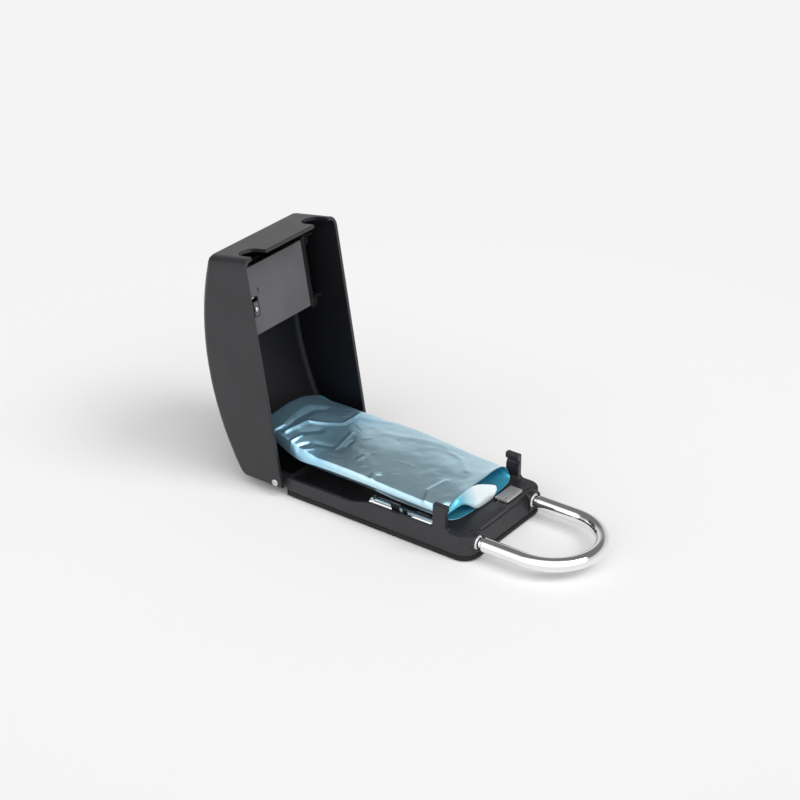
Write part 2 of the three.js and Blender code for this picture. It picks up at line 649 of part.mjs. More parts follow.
function clipBody(side) {
  const half = ROD_RADIUS + GAP + CLIP_SHEET / 2;
  const bottom = FLOOR_TOP + CLIP_SHEET / 2;
  const outerTop = TRAY_HALF - TRAY_WALL - GAP - CLIP_SHEET;
  const [lean, lift] = CLIP_LIP;
  const line = [
    point(side * (LEG_Y - half + lean), LEG_HEIGHT + 3 + lift), point(side * (LEG_Y - half), LEG_HEIGHT + 3),
    point(side * (LEG_Y - half), bottom), point(side * (LEG_Y + half), bottom),
    point(side * (LEG_Y + half), LEG_HEIGHT + 5), point(side * outerTop, CLIP_TALL),
  ];
  const front = CLIP_REAR + CLIP_LENGTH;
  const spring = prism('x', ribbon(line, CLIP_SHEET), CLIP_REAR, front);
  const footEdges = [side * (LEG_Y - half - CLIP_FOOT), side * (LEG_Y - half)].sort((a, b) => a - b);
  const foot = block([CLIP_REAR, footEdges[0], FLOOR_TOP], [front, footEdges[1], FLOOR_TOP + CLIP_SHEET]);
  const slit = CLIP_REAR + CLIP_TALL_LENGTH;
  const outer = [side * LEG_Y, side * TRAY_HALF].sort((a, b) => a - b);
  const gapCut = block([slit, outer[0], LEG_HEIGHT + 4], [slit + CLIP_SLIT, outer[1], CLIP_TALL + 2]);
  const lowCut = block([slit, outer[0], CLIP_SHORT], [front + 1, outer[1], CLIP_TALL + 2]);
  const hole = rod('z', [...rivetPlace(side), 0], RIVET_RADIUS + GAP / 2, 0, FLOOR_TOP + 3, 16);
  return cut(spring.add(foot), [gapCut, lowCut, hole]);
}

function rivetBody(side) {
  const head = FLOOR_TOP + CLIP_SHEET;
  return turned('z', [...rivetPlace(side), 0], [
    [0, PAD_THICKNESS], [RIVET_RADIUS, PAD_THICKNESS], [RIVET_RADIUS, head], [RIVET_HEAD, head],
    [RIVET_HEAD, head + 0.5], [RIVET_HEAD * 0.6, head + 1.1], [0, head + 1.3],
  ], 16);
}

// Thumb slide: an upright plate under the deck, a neck through the slot and a folded tab

const slideMiddle = SLIDE_X + SLIDE_SHEET / 2;

function releaseSpring() {
  return coil('y', [slideMiddle, 0, LEG_HEIGHT], SLIDE_SPRING_LOW + GAP, SLIDE_NEAR_END - GAP);
}

function slideBody() {
  const tabBottom = DECK_TOP + SLIDE_TAB_LIFT;
  const middle = (SLIDE_TAB[0] + SLIDE_TAB[1]) / 2;
  const nose = LEG_Y - ROD_RADIUS - GAP;
  const rise = DECK_TOP - DECK_THICKNESS - GAP;
  const plate = prism('x', [
    point(SLIDE_NEAR_END, FLOOR_TOP + GAP), point(nose - 2, FLOOR_TOP + GAP),
    point(nose, LEG_HEIGHT - 2), point(nose, LEG_HEIGHT + 2),
    point(nose - 2, rise), point(SLIDE_NEAR_END, rise),
  ], SLIDE_X, SLIDE_X + SLIDE_SHEET);
  const neck = block([SLIDE_X, middle - SLIDE_NECK / 2, FLOOR_TOP + 2],
    [SLIDE_X + SLIDE_SHEET, middle + SLIDE_NECK / 2, tabBottom + SLIDE_SHEET]);
  const tab = prism('z', roundedRectangle(SLIDE_X, SLIDE_TAB[0], SLIDE_X + SLIDE_TAB_LENGTH, SLIDE_TAB[1],
    [0, 0.8, 0.8, 0]), tabBottom, tabBottom + SLIDE_SHEET);
  const grip = rod('z', [SLIDE_X + SLIDE_TAB_LENGTH - 3, SLIDE_TAB[0] + 2.6, 0], GRIP_RADIUS,
    tabBottom - 1, tabBottom + SLIDE_SHEET + 1, 16);
  return joined([plate, neck, tab]).subtract(grip);
}

// Cover, drawn shut in u, across and d

// Centre of the corner between a straight wall and the crown, for walls moved in by their insets
function cornerCentre(wallNormal, wallDirection, wallOffset, crown, radius) {
  const start = wallNormal.clone().multiplyScalar(wallOffset + radius);
  const toStart = start.clone().sub(crown.centre);
  const along = wallDirection.dot(toStart);
  const reach = (crown.radius - radius) ** 2 - toStart.lengthSq() + along ** 2;
  return start.add(wallDirection.clone().multiplyScalar(Math.sqrt(reach) - along));
}

const degreesOf = (vector) => THREE.MathUtils.radToDeg(Math.atan2(vector.y, vector.x));

function coverSide(hingeInset, backInset, topInset) {
  const crown = { centre: point(CROWN_U, COVER_DEPTH - CROWN_RADIUS), radius: CROWN_RADIUS - backInset };
  const draft = radians(END_DRAFT);
  const hingeNormal = point(Math.cos(draft), -Math.sin(draft));
  const hingeDirection = point(Math.sin(draft), Math.cos(draft));
  const topNormal = point(-1, 0);
  const topDirection = point(0, 1);
  const lower = Math.max(LOWER_CORNER - backInset, GAP);
  const upper = Math.max(UPPER_CORNER - backInset, GAP);
  const lowerCentre = cornerCentre(hingeNormal, hingeDirection, hingeInset, crown, lower);
  const upperCentre = cornerCentre(topNormal, topDirection, topInset - COVER_LENGTH, crown, upper);
  const lowerEnd = degreesOf(lowerCentre.clone().sub(crown.centre));
  const upperEnd = degreesOf(upperCentre.clone().sub(crown.centre));
  const spare = 2 * EDGE_TOP;
  const foot = hingeNormal.clone().multiplyScalar(hingeInset)
    .sub(hingeDirection.clone().multiplyScalar(spare));
  return [
    foot,
    ...arc(lowerCentre.x, lowerCentre.y, lower, 180 - END_DRAFT, lowerEnd, 6),
    ...arc(crown.centre.x, crown.centre.y, crown.radius, lowerEnd, upperEnd, 16).slice(1, -1),
    ...arc(upperCentre.x, upperCentre.y, upper, upperEnd, 0, 4),
    point(COVER_LENGTH - topInset, -spare),
  ];
}

// The cover's bulk: side outlines stacked across the width, drawn in towards both sides
function coverBulk(wall) {
  const half = COVER_HALF - (wall ? SIDE_WALL : 0);
  const side = EDGE_SIDE - (wall ? SIDE_WALL : 0);
  const edge = (size, thickness) => Math.max(size - (wall ? thickness : 0), GAP);
  const layers = [0, 20, 40, 62, 90].map((degrees) => {
    const shrink = 1 - Math.sin(radians(degrees));
    const outline = coverSide(
      edge(EDGE_HINGE, END_WALL) * shrink + (wall ? END_WALL : 0),
      edge(EDGE_BACK, BACK_WALL) * shrink + (wall ? BACK_WALL : 0),
      edge(EDGE_TOP, END_WALL) * shrink + (wall ? END_WALL : 0));
    return { y: half - side * (1 - Math.cos(radians(degrees))), outline };
  });
  const ring = (y, outline) => outline.map(({ x, y: d }) => new THREE.Vector3(x, y, d));
  return loft([
    ...layers.map(({ y, outline }) => ring(y, outline)),
    ...layers.slice().reverse().map(({ y, outline }) => ring(-y, outline)),
  ]);
}

function legNotch(side) {
  const middle = LEG_HEIGHT - (HINGE_Z - HINGE_D);
  const outline = [
    point(side * LEG_Y - LEG_NOTCH, -1),
    point(side * LEG_Y + LEG_NOTCH, -1),
    ...arc(side * LEG_Y, middle, LEG_NOTCH, 0, 180, 12),
  ];
  return prism('x', outline, COVER_LENGTH - 3 * END_WALL, COVER_LENGTH + 1);
}

function lugRelief(side) {
  const outer = side * (COVER_INNER - GAP);
  const inner = side * (TRAY_HALF - LUG_WIDTH - RUN);
  const [low, high] = [Math.min(inner, outer), Math.max(inner, outer)];
  return block([-2, low, -1], [HINGE_U + LUG_RADIUS + 1, high, HINGE_D + LUG_RADIUS + RUN]);
}

function pinHole(side) {
  const [shank, head] = [PIN_RADIUS + GAP / 2, PIN_HEAD + GAP / 2];
  const outer = COVER_HALF - PIN_HEAD_DEPTH;
  const hole = rod('y', [HINGE_U, 0, HINGE_D], shank, COVER_INNER - 2, COVER_HALF + 1, 20);
  const seat = rod('y', [HINGE_U, 0, HINGE_D], head, outer, COVER_HALF + 1, 20);
  return side > 0 ? hole.add(seat) : hole.add(seat).mirror([0, 1, 0]);
}

const dialMiddle = (i) => (i - (DIAL_COUNT - 1) / 2) * DIAL_PITCH;
const dialIndexes = Array.from({ length: DIAL_COUNT }, (_, i) => i);

function dialSlots() {
  return dialIndexes.map((i) => {
    const half = DIAL_WIDTH / 2 + DIAL_CLEARANCE;
    const [low, high] = [dialMiddle(i) - half, dialMiddle(i) + half];
    return rod('y', [DIAL_U, 0, DIAL_D], DIAL_RADIUS + DIAL_CLEARANCE, low, high, 24);
  });
}

// The opening that the release button is pressed through
function buttonHole() {
  const outline = buttonOutline(RUN);
  return prism('z', outline, FRAME_D, COVER_DEPTH + BUTTON_PROUD);
}

function buttonOutline(room) {
  const radius = BUTTON_LENGTH / 2 + room;
  const reach = BUTTON_WIDTH / 2 - BUTTON_LENGTH / 2;
  return [...arc(BUTTON_U, reach, radius, 0, 180, 8), ...arc(BUTTON_U, -reach, radius, 180, 360, 8)];
}

const earPlaces = [PLATE_LOW + EAR_INSET, PLATE_HIGH - EAR_INSET]
  .flatMap((u) => [-EAR_Y, EAR_Y].map((y) => [u, y]));

const framePlaces = [-FRAME_SCREW_Y, FRAME_SCREW_Y].map((y) => [FRAME_SCREW_U, y]);

function post([u, y], start, radius) {
  const body = rod('z', [u, y, 0], radius, start, COVER_DEPTH, 14);
  return body.subtract(rod('z', [u, y, 0], SCREW_RADIUS + GAP / 2, start - 1, start + SCREW_LENGTH, 12));
}

// A rib from a post to the side wall
function gusset([u, y]) {
  const edges = [y, Math.sign(y) * COVER_HALF].sort((a, b) => a - b);
  const rib = block([u - GUSSET_HALF, edges[0], PLATE_BACK + 3], [u + GUSSET_HALF, edges[1], COVER_DEPTH]);
  return rib.subtract(rod('z', [u, y, 0], POST_RADIUS - 0.5, 0, COVER_DEPTH + 1, 12));
}

function coverPosts() {
  const plate = earPlaces.map((place) => post(place, PLATE_BACK + GAP, POST_RADIUS));
  const frame = framePlaces.map((place) => post(place, FRAME_D + FRAME_SHEET + GAP, POST_RADIUS));
  return [...plate, ...frame, ...earPlaces.map(gusset)];
}

function coverBody() {
  const bulk = coverBulk(false);
  const hollow = coverBulk(true);
  const below = -3 * EDGE_TOP;
  const rimCut = block([below, -COVER_HALF - 1, below], [COVER_LENGTH + 1, COVER_HALF + 1, 0]);
  const shell = bulk.subtract(hollow);
  const fittings = joined(coverPosts()).intersect(bulk);
  const cuts = SIDES.flatMap(([, side]) => [legNotch(side), lugRelief(side), pinHole(side)]);
  return cut(shell.add(fittings), [rimCut, ...cuts, ...dialSlots(), buttonHole()]);
}

// Hinge pins: a short shank with a flat head sunk in the cover's side wall

function pinBody(side) {
  const [inner, head] = [TRAY_HALF - LUG_WIDTH, COVER_HALF - PIN_HEAD_DEPTH + GAP / 2];
  const body = turned('y', [HINGE_U, 0, HINGE_D], [
    [0, inner], [PIN_RADIUS - 0.3, inner], [PIN_RADIUS, inner + 0.3], [PIN_RADIUS, head],
    [PIN_HEAD, head], [PIN_HEAD, COVER_HALF - 0.2],
    [PIN_HEAD - 0.4, COVER_HALF + 0.15], [0, COVER_HALF + 0.25],
  ], 16);
  return side > 0 ? body : body.mirror([0, 1, 0]);
}

// Mechanism plate

function plateBody() {
  const sheet = prism('z', roundedRectangle(PLATE_LOW, -PLATE_WIDTH / 2, PLATE_HIGH, PLATE_WIDTH / 2,
    [2, 2, 2, 2]), PLATE_D, PLATE_BACK);
  const ears = earPlaces.map(([u, y]) => rod('z', [u, y, 0], EAR_RADIUS, PLATE_D, PLATE_BACK, 14));
  const [front, back] = [PLATE_D - 1, PLATE_BACK + 1];
  const holes = earPlaces.map(([u, y]) => rod('z', [u, y, 0], SCREW_RADIUS + GAP / 2, front, back, 12));
  const sinks = earPlaces.map(([u, y]) => rod('z', [u, y, 0],
    SCREW_HEAD + GAP / 2, front, PLATE_D + SCREW_SINK, 12));
  const [uLow, uHigh, yLow, yHigh] = RESET_SLOT;
  const slot = prism('z', roundedRectangle(uLow, yLow, uHigh, yHigh, [1, 1, 1, 1]), front, back);
  return cut(joined([sheet, ...ears]), [...holes, ...sinks, slot]);
}

// Screw set in from the rim's side, with a drive socket
function screwBody([u, y], seat) {
  const top = seat - SCREW_HEAD_HEIGHT;
  const body = turned('z', [u, y, 0], [
    [0, top], [SCREW_HEAD - 0.3, top], [SCREW_HEAD, top + 0.3], [SCREW_HEAD, seat],
    [SCREW_RADIUS, seat], [SCREW_RADIUS, seat + SCREW_LENGTH - 2], [0, seat + SCREW_LENGTH - 1.4],
  ], 12);
  return body.subtract(rod('z', [u, y, 0], SCREW_RADIUS, top - 1, top + SCREW_HEAD_HEIGHT / 2, 6));
}

const plateSeat = PLATE_D + SCREW_SINK - GAP / 2;

// Dials and gates

function dialOutline() {
  const step = 360 / DIAL_FLATS;
  return dialTeeth(step).map(([radius, degrees]) => {
    const angle = radians(degrees);
    return point(radius * Math.cos(angle), radius * Math.sin(angle));
  });
}

function dialTeeth(step) {
  const inner = DIAL_RADIUS - DIAL_GROOVE;
  return Array.from({ length: DIAL_FLATS }, (_, i) => i * step).flatMap((start) => [
    [inner, start], [DIAL_RADIUS, start + step * 0.14],
    [DIAL_RADIUS, start + step / 2], [DIAL_RADIUS, start + step * 0.86],
  ]);
}

// Two dogs on the gate's hub engage two pockets in the dial's bore
function dogs(low, high, clearance) {
  const [inner, outer] = [GATE_HUB - 0.5, DIAL_BORE + 0.8 + clearance];
  const half = DOG_WIDTH / 2 + clearance;
  return [block([inner, low, -half], [outer, high, half]), block([-outer, low, -half], [-inner, high, half])];
}

function dialBody() {
  const wheel = prism('y', dialOutline(), -DIAL_WIDTH / 2, DIAL_WIDTH / 2);
  const bore = rod('y', [0, 0, 0], DIAL_BORE, -DIAL_WIDTH, DIAL_WIDTH, 16);
  const pockets = dogs(-DIAL_WIDTH, DOG_REACH + GAP - DIAL_WIDTH / 2, GAP);
  return cut(wheel, [bore, ...pockets]);
}

function gateBody() {
  const high = -DIAL_WIDTH / 2 - GAP;
  const disc = rod('y', [0, 0, 0], GATE_RADIUS, high - GATE_DISC, high, 20);
  const hub = rod('y', [0, 0, 0], GATE_HUB, high - GATE_DISC / 2, high + GATE_HUB_LENGTH, 14);
  const teeth = dogs(high - GATE_DISC / 2, DOG_REACH - DIAL_WIDTH / 2, 0);
  const notch = block([GATE_RADIUS - GATE_NOTCH_DEPTH, high - GATE_DISC - 1, -GATE_NOTCH / 2],
    [GATE_RADIUS + 1, high + 1, GATE_NOTCH / 2]);
  const bore = rod('y', [0, 0, 0], AXLE_RADIUS + RUN / 2, -DIAL_WIDTH, DIAL_WIDTH, 14);
  return cut(joined([disc, hub, ...teeth]), [notch, bore]);
}

// Reset: a block in the plate's slot, and a folded carrier that draws the axle along

const carrierY = NEAR_CHEEK - FRAME_SHEET - DIAL_CLEARANCE;
const blockPlace = [RESET_SLOT[0] + GAP + RESET_BLOCK / 2, (RESET_SLOT[2] + RESET_SHIFT + RESET_SLOT[3]) / 2];

function resetBlock() {
  const [u, y] = blockPlace;
  const half = (RESET_SLOT[3] - RESET_SLOT[2] - RESET_SHIFT) / 2 - GAP;
  const body = block(
    [u - RESET_BLOCK / 2, y - half, PLATE_D + GAP], [u + RESET_BLOCK / 2, y + half, LATCH_D - GAP]);
  return body.subtract(rod('z', [u, y, 0], SCREW_RADIUS + GAP / 2, PLATE_D - 1, LATCH_D + 1, 12));
}

function resetScrew() {
  const [u, y] = blockPlace;
  const seat = PLATE_D;
  const head = turned('z', [u, y, 0], [
    [0, seat - 0.9], [RESET_SCREW * 0.6, seat - 0.7], [RESET_SCREW, seat - 0.2], [RESET_SCREW, seat],
    [SCREW_RADIUS, seat], [SCREW_RADIUS, LATCH_D + CARRIER_SHEET + 1], [0, LATCH_D + CARRIER_SHEET + 1],
  ], 16);
  return head.subtract(block([u - 1.2, y - 0.3, seat - 2], [u + 1.2, y + 0.3, seat - 0.4]));
}

function carrierBody() {
  const [u, y] = blockPlace;
  const footLow = u - RESET_BLOCK / 2;
  const foot = block([footLow, carrierY - CARRIER_SHEET, LATCH_D],
    [footLow + CARRIER_FOOT, y + 3.2, LATCH_D + CARRIER_SHEET]);
  const outline = [
    point(DIAL_U - CARRIER_HALF, LATCH_D), point(DIAL_U + CARRIER_HALF, LATCH_D),
    ...arc(DIAL_U, DIAL_D, AXLE_RADIUS + 2.4, 0, 180, 10),
  ];
  const leg = prism('y', outline, carrierY - CARRIER_SHEET, carrierY);
  const hole = rod('y', [DIAL_U, 0, DIAL_D], AXLE_RADIUS + GAP / 2, carrierY - 5, carrierY + 5, 20);
  const screwHole = rod('z', [u, y, 0], SCREW_RADIUS + GAP / 2, LATCH_D - 1, LATCH_D + 3, 12);
  return cut(foot.add(leg), [hole, screwHole]);
}

function axleBody() {
  const low = carrierY - CARRIER_SHEET - 1.2;
  const high = FAR_CHEEK + FRAME_SHEET + RESET_SHIFT + 0.6;
  const shoulder = carrierY + GAP / 2;
  return turned('y', [DIAL_U, 0, DIAL_D], [
    [0, low], [AXLE_RADIUS - 0.3, low], [AXLE_RADIUS, low + 0.3], [AXLE_RADIUS, shoulder],
    [AXLE_RADIUS, high - 0.3], [AXLE_RADIUS - 0.3, high], [0, high],
  ], 20);
}

// Dial frame: a folded channel with a cheek at each end of the row, screwed down by two feet

function frameCheek(low, high) {
  const outline = [
    point(FRAME_LOW + 3, FRAME_D), point(FRAME_SCREW_U + FOOT_LENGTH / 2, FRAME_D),
    point(FRAME_SCREW_U + FOOT_LENGTH / 2, FRAME_D + CHEEK_FOOT),
    point(DIAL_U + CHEEK_HALF, FRAME_D + CHEEK_FOOT + 1),
    ...arc(DIAL_U, DIAL_D, AXLE_RADIUS + 3, 0, 180, 10),
    point(DIAL_U - CHEEK_HALF, FRAME_D + CHEEK_FOOT + 1),
  ];
  return prism('y', outline, low, high);
}

function frameBody() {
  const top = FRAME_D + FRAME_SHEET;
  const [nearOut, farOut] = [NEAR_CHEEK - FRAME_SHEET, FAR_CHEEK + FRAME_SHEET];
  const web = block([FRAME_LOW, nearOut, FRAME_D], [FRAME_HIGH, farOut, top]);
  const footEdges = [FRAME_SCREW_U - FOOT_LENGTH / 2, FRAME_SCREW_U + FOOT_LENGTH / 2];
  const inner = FRAME_SCREW_Y - FOOT_LENGTH / 2;
  const feet = [
    block([footEdges[0], nearOut, FRAME_D], [footEdges[1], -inner, top]),
    block([footEdges[0], inner, FRAME_D], [footEdges[1], farOut, top]),
  ];
  const cheeks = [frameCheek(nearOut, NEAR_CHEEK), frameCheek(FAR_CHEEK, farOut)];
  const springTabs = SIDES.map(([, side]) => block(
    [SPRING_LOW - GAP - FRAME_SHEET, side * SPRING_Y - SPRING_TAB_HALF, LATCH_D],
    [SPRING_LOW - GAP, side * SPRING_Y + SPRING_TAB_HALF, top]));
  const axleHoles = rod('y', [DIAL_U, 0, DIAL_D], AXLE_RADIUS + RUN / 2, nearOut - 1, farOut + 1, 20);
  const screwHoles = framePlaces.map(([u, y]) => rod('z', [u, y, 0],
    SCREW_RADIUS + GAP / 2, FRAME_D - 1, top + 1, 12));
  const sheet = cut(joined([web, ...feet]), dialSlots());
  return cut(joined([sheet, ...cheeks, ...springTabs]), [axleHoles, ...screwHoles]);
}

// A comb of leaf fingers, each resting against one dial
function detentBody() {
  const rest = DIAL_U - DIAL_RADIUS - GAP - DETENT_SHEET / 2;
  const foot = FRAME_D + FRAME_SHEET + GAP;
  const root = FRAME_LOW + DETENT_SHEET;
  const line = [
    point(root, foot), point(root, foot + 4), point(rest - 0.6, DIAL_D - 3.2), point(rest, DIAL_D),
    point(rest - 1.2, DIAL_D + 2.6),
  ];
  const fingers = dialIndexes.map((i) => prism('y', ribbon(line, DETENT_SHEET),
    dialMiddle(i) - DETENT_WIDTH / 2, dialMiddle(i) + DETENT_WIDTH / 2));
  const strip = block([root - DETENT_SHEET / 2, dialMiddle(0) - DETENT_WIDTH / 2, foot],
    [root + DETENT_SHEET / 2, dialMiddle(DIAL_COUNT - 1) + DETENT_WIDTH / 2, foot + 3]);
  return joined([...fingers, strip]);
}

// Latch slide: a flat plate with two folded wings that reach under the hooks' heads,
// a comb of fence blades for the gates and a ramp that the button presses on

const fenceY = (i) => dialMiddle(i) - DIAL_WIDTH / 2 - GAP - GATE_DISC / 2;

function latchFence() {
  const low = DIAL_U + GATE_RADIUS + LATCH_TRAVEL + GAP;
  const lipTop = DIAL_D - DIAL_RADIUS - 1;
  const lip = block([low + 0.3, fenceY(0) - FENCE_THICKNESS / 2, LATCH_TOP - 0.5],
    [low + FENCE_LENGTH, fenceY(DIAL_COUNT - 1) + FENCE_THICKNESS / 2, lipTop]);
  const blades = dialIndexes.map((i) => block(
    [low, fenceY(i) - FENCE_THICKNESS / 2, lipTop - 0.5],
    [low + FENCE_LENGTH, fenceY(i) + FENCE_THICKNESS / 2, DIAL_D + GATE_NOTCH / 2]));
  return joined([lip, ...blades]);
}

// The ramp's slope turns the button's travel into the latch's
const RAMP_SLOPE = BUTTON_TRAVEL / LATCH_TRAVEL;
const rampHeight = (u) => LATCH_TOP + 1 + (LATCH_HIGH - 1 - u) * RAMP_SLOPE;

function latchRamp() {
  const [low, high] = [LATCH_HIGH - 12, LATCH_HIGH - 1];
  return prism('y', [
    point(low, LATCH_TOP - 0.5), point(high, LATCH_TOP - 0.5), point(high, rampHeight(high)),
    point(low + 1.5, rampHeight(low + 1.5)), point(low, rampHeight(low + 1.5)),
  ], -BUTTON_STEM / 2, BUTTON_STEM / 2);
}

function latchBody() {
  const plate = prism('z', roundedRectangle(LATCH_LOW, -LATCH_WIDTH / 2, LATCH_HIGH, LATCH_WIDTH / 2,
    [0, 3, 3, 0]), LATCH_D, LATCH_TOP);
  const half = LATCH_SHEET / 2;
  const springTop = LATCH_D + 2 * (SPRING_RADIUS + SPRING_WIRE);
  const tongue = HOOK_TOP - HOOK_HEAD - (HINGE_Z - HINGE_D) - GAP - LATCH_SHEET;
  const wings = SIDES.map(([, side]) => prism('x', ribbon([
    point(side * (LATCH_WIDTH / 2 - 1), LATCH_D + half), point(side * (WING_LEG_Y - half), LATCH_D + half),
    point(side * (WING_LEG_Y - half), tongue), point(side * WING_REACH, tongue),
  ], LATCH_SHEET), WING_LOW, WING_HIGH));
  const springTabs = SIDES.map(([, side]) => block(
    [LATCH_LOW, side * SPRING_Y - SPRING_TAB_HALF, LATCH_D],
    [LATCH_LOW + LATCH_SHEET, side * SPRING_Y + SPRING_TAB_HALF, springTop]));
  return joined([plate, ...wings, ...springTabs, latchFence(), latchRamp()]);
}

// Release button: an oval cap, a flange that holds it in and a stem with a slanted end

function buttonBody() {
  const wallInside = crownDepth(BUTTON_U + BUTTON_LENGTH / 2) - BACK_WALL;
  const flangeTop = wallInside - 2 * GAP;
  const top = crownDepth(BUTTON_U) + BUTTON_PROUD;
  const cap = prism('z', buttonOutline(0), flangeTop - BUTTON_FLANGE, top);
  const flange = prism('z', roundedRectangle(
    BUTTON_U - BUTTON_LENGTH / 2, -BUTTON_WIDTH / 2 - 1.5,
    BUTTON_U + BUTTON_LENGTH / 2, BUTTON_WIDTH / 2 + 1.5,
    [1, 1, 1, 1]), flangeTop - BUTTON_FLANGE, flangeTop);
  const [low, high] = [BUTTON_U - BUTTON_STEM / 2, BUTTON_U + BUTTON_STEM / 2];
  const stem = prism('y', [
    point(low, rampHeight(low) + GAP), point(high, rampHeight(high) + GAP),
    point(high, flangeTop - BUTTON_FLANGE / 2), point(low, flangeTop - BUTTON_FLANGE / 2),
  ], -BUTTON_STEM / 2, BUTTON_STEM / 2);
  const dish = rod('y', [BUTTON_U, 0, top + 14.2], 15, -BUTTON_WIDTH, BUTTON_WIDTH, 60);
  return joined([cap, flange, stem]).subtract(dish);
}

// The two latch springs, between a tab on the frame and one on the latch
function latchSpring(side) {
  const middle = LATCH_D + SPRING_RADIUS + SPRING_WIRE;
  return coil('x', [0, side * SPRING_Y, middle], SPRING_LOW, LATCH_LOW - GAP);
}

// Foil pouch: a loose flattened tube that lies on the deck and leans up into the cover,
// with an open mouth and a flap of the upper film folded down across it

// The heights at any share of the way, between the stations on both sides of it
function pouchHeights(share) {
  const place = Math.min(share, 1);
  const next = Math.max(POUCH_STATIONS.findIndex(([end]) => end >= place), 1);
  const [before, after] = [POUCH_STATIONS[next - 1], POUCH_STATIONS[next]];
  const part = (place - before[0]) / (after[0] - before[0]);
  return after.slice(1).map((height, i) => THREE.MathUtils.lerp(before[i + 1], height, part));
}

// Half widths and heights round the pouch, over the top from the near edge and back underneath
function pouchSection(share) {
  const [near, crown, far, low, bottom] = pouchHeights(share);
  const farBottom = Math.min(bottom, far - 2.5);
  const swell = crown - (near + far) / 2;
  const top = [-0.97, -0.76, -0.46, -0.12, 0.22, 0.56, 0.82, 0.95].map((across) => {
    const edge = THREE.MathUtils.lerp(near, far, (across + 1) / 2);
    return [across, edge + swell * Math.cos((across * Math.PI) / 2) ** 0.7];
  });
  return [
    [-1, low], ...top, [1, far - 2.4], [0.97, (far + farBottom) / 2 - 1], [0.8, farBottom],
    [0.2, (bottom + farBottom) / 2], [-0.6, bottom], [-0.9, (bottom + low) / 2],
  ];
}

function pouchRing(share, inset) {
  const [, crown, , , bottom] = pouchHeights(share);
  const [middle, half] = [(crown + bottom) / 2, (crown - bottom) / 2];
  const open = THREE.MathUtils.clamp((share - 0.85) / 0.15, 0, 1);
  return pouchSection(share).map(([across, height]) => {
    const bow = POUCH_MOUTH_BOW * share * (1 - across ** 2);
    const lean = (POUCH_MOUTH_LEAN * open * (height - bottom)) / (2 * half);
    const x = POUCH_REAR + (POUCH_MOUTH - POUCH_REAR) * share + bow - lean;
    const z = middle + (height - middle) * (1 - inset / half);
    return new THREE.Vector3(x, (POUCH_HALF_WIDTH - inset) * across, DECK_TOP + z);
  });
}

function pouchTongue() {
  const top = Math.max(...POUCH_STATIONS.at(-1));
  const high = point(POUCH_MOUTH + POUCH_MOUTH_BOW - POUCH_MOUTH_LEAN - 1.6, DECK_TOP + top - 0.8);
  const low = point(POUCH_MOUTH + POUCH_MOUTH_BOW - 0.6, DECK_TOP + POUCH_WALL);
  return prism('y', ribbon([high, low], POUCH_WALL), ...POUCH_TONGUE);
}

function pouchBody() {
  const outside = loft(POUCH_STATIONS.map(([share]) => pouchRing(share, 0)));
  const start = 1 - POUCH_MOUTH_DEPTH / (POUCH_MOUTH - POUCH_REAR);
  const inside = loft([start, (1 + start) / 2, 1, 1.03].map((share) => pouchRing(share, POUCH_WALL)));
  return outside.subtract(inside).add(pouchTongue());
}

// Assembly

function addBase(parent) {
  add(parent, 'base_tray', trayBody(), BLACK_COAT);
  add(parent, 'base_pad', padBody(), BLACK_RUBBER);
  SIDES.forEach(([name, side]) => {
    add(parent, `shackle_clip_${name}`, clipBody(side), DARK_STEEL);
    add(parent, `clip_rivet_${name}`, rivetBody(side), STEEL);
  });
  add(parent, 'shackle', shackleBody(), CHROME);
  add(parent, 'shackle_release', slideBody(), STEEL);
  add(parent, 'release_spring', releaseSpring(), STEEL);
  add(parent, 'foil_pouch', pouchBody(), FOIL);
}

function addLock(cover) {
  add(cover, 'mechanism_plate', plateBody(), PLATE_GREY);
  earPlaces.forEach((place, i) => {
    add(cover, `plate_screw_${i + 1}`, screwBody(place, plateSeat), DARK_STEEL);
  });
  add(cover, 'dial_frame', frameBody(), STEEL);
  framePlaces.forEach((place, i) => {
    add(cover, `frame_screw_${i + 1}`, screwBody(place, FRAME_D - GAP / 2), STEEL);
  });
  add(cover, 'detent_spring', detentBody(), STEEL);
  dialIndexes.forEach((i) => {
    const wheel = add(cover, `dial_wheel_${i + 1}`, dialBody(), BLACK_PLASTIC);
    const gate = add(cover, `gate_${i + 1}`, gateBody(), BRASS);
    [wheel, gate].forEach((mesh) => mesh.position.set(DIAL_U, dialMiddle(i), DIAL_D));
  });
}

function addReset(cover) {
  add(cover, 'reset_slider', resetBlock(), DARK_STEEL);
  add(cover, 'reset_screw', resetScrew(), STEEL);
  add(cover, 'gate_carrier', carrierBody(), STEEL);
  add(cover, 'dial_axle', axleBody(), STEEL);
}

function addLatch(cover) {
  add(cover, 'latch_plate', latchBody(), STEEL);
  add(cover, 'release_button', buttonBody(), BLACK_PLASTIC);
  SIDES.forEach(([name, side]) => add(cover, `latch_spring_${name}`, latchSpring(side), STEEL));
}

const lockbox = new THREE.Group();
addBase(lockbox);

const hinge = new THREE.Group();
hinge.position.set(HINGE_X, 0, HINGE_Z);
hinge.rotation.y = -radians(OPEN_ANGLE);
lockbox.add(hinge);

const cover = new THREE.Group();
cover.position.set(-HINGE_U, 0, -HINGE_D);
hinge.add(cover);

add(cover, 'cover_shell', coverBody(), BLACK_COAT);
SIDES.forEach(([name, side]) => add(cover, `hinge_pin_${name}`, pinBody(side), STEEL));
addLock(cover);
addLatch(cover);
addReset(cover);

export default lockbox;
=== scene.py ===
"""Dressed model of a portable car key lockbox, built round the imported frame.

Sizes are written in millimetres and turned into metres where a mesh is made.
The frame is the part's own: +X runs to the shackle, +Y from the near side to the far side, +Z up.
"""

from __future__ import annotations

import json
import logging
import math
import random
from dataclasses import dataclass
from enum import Enum
from typing import Any, Callable, Iterable, Sequence

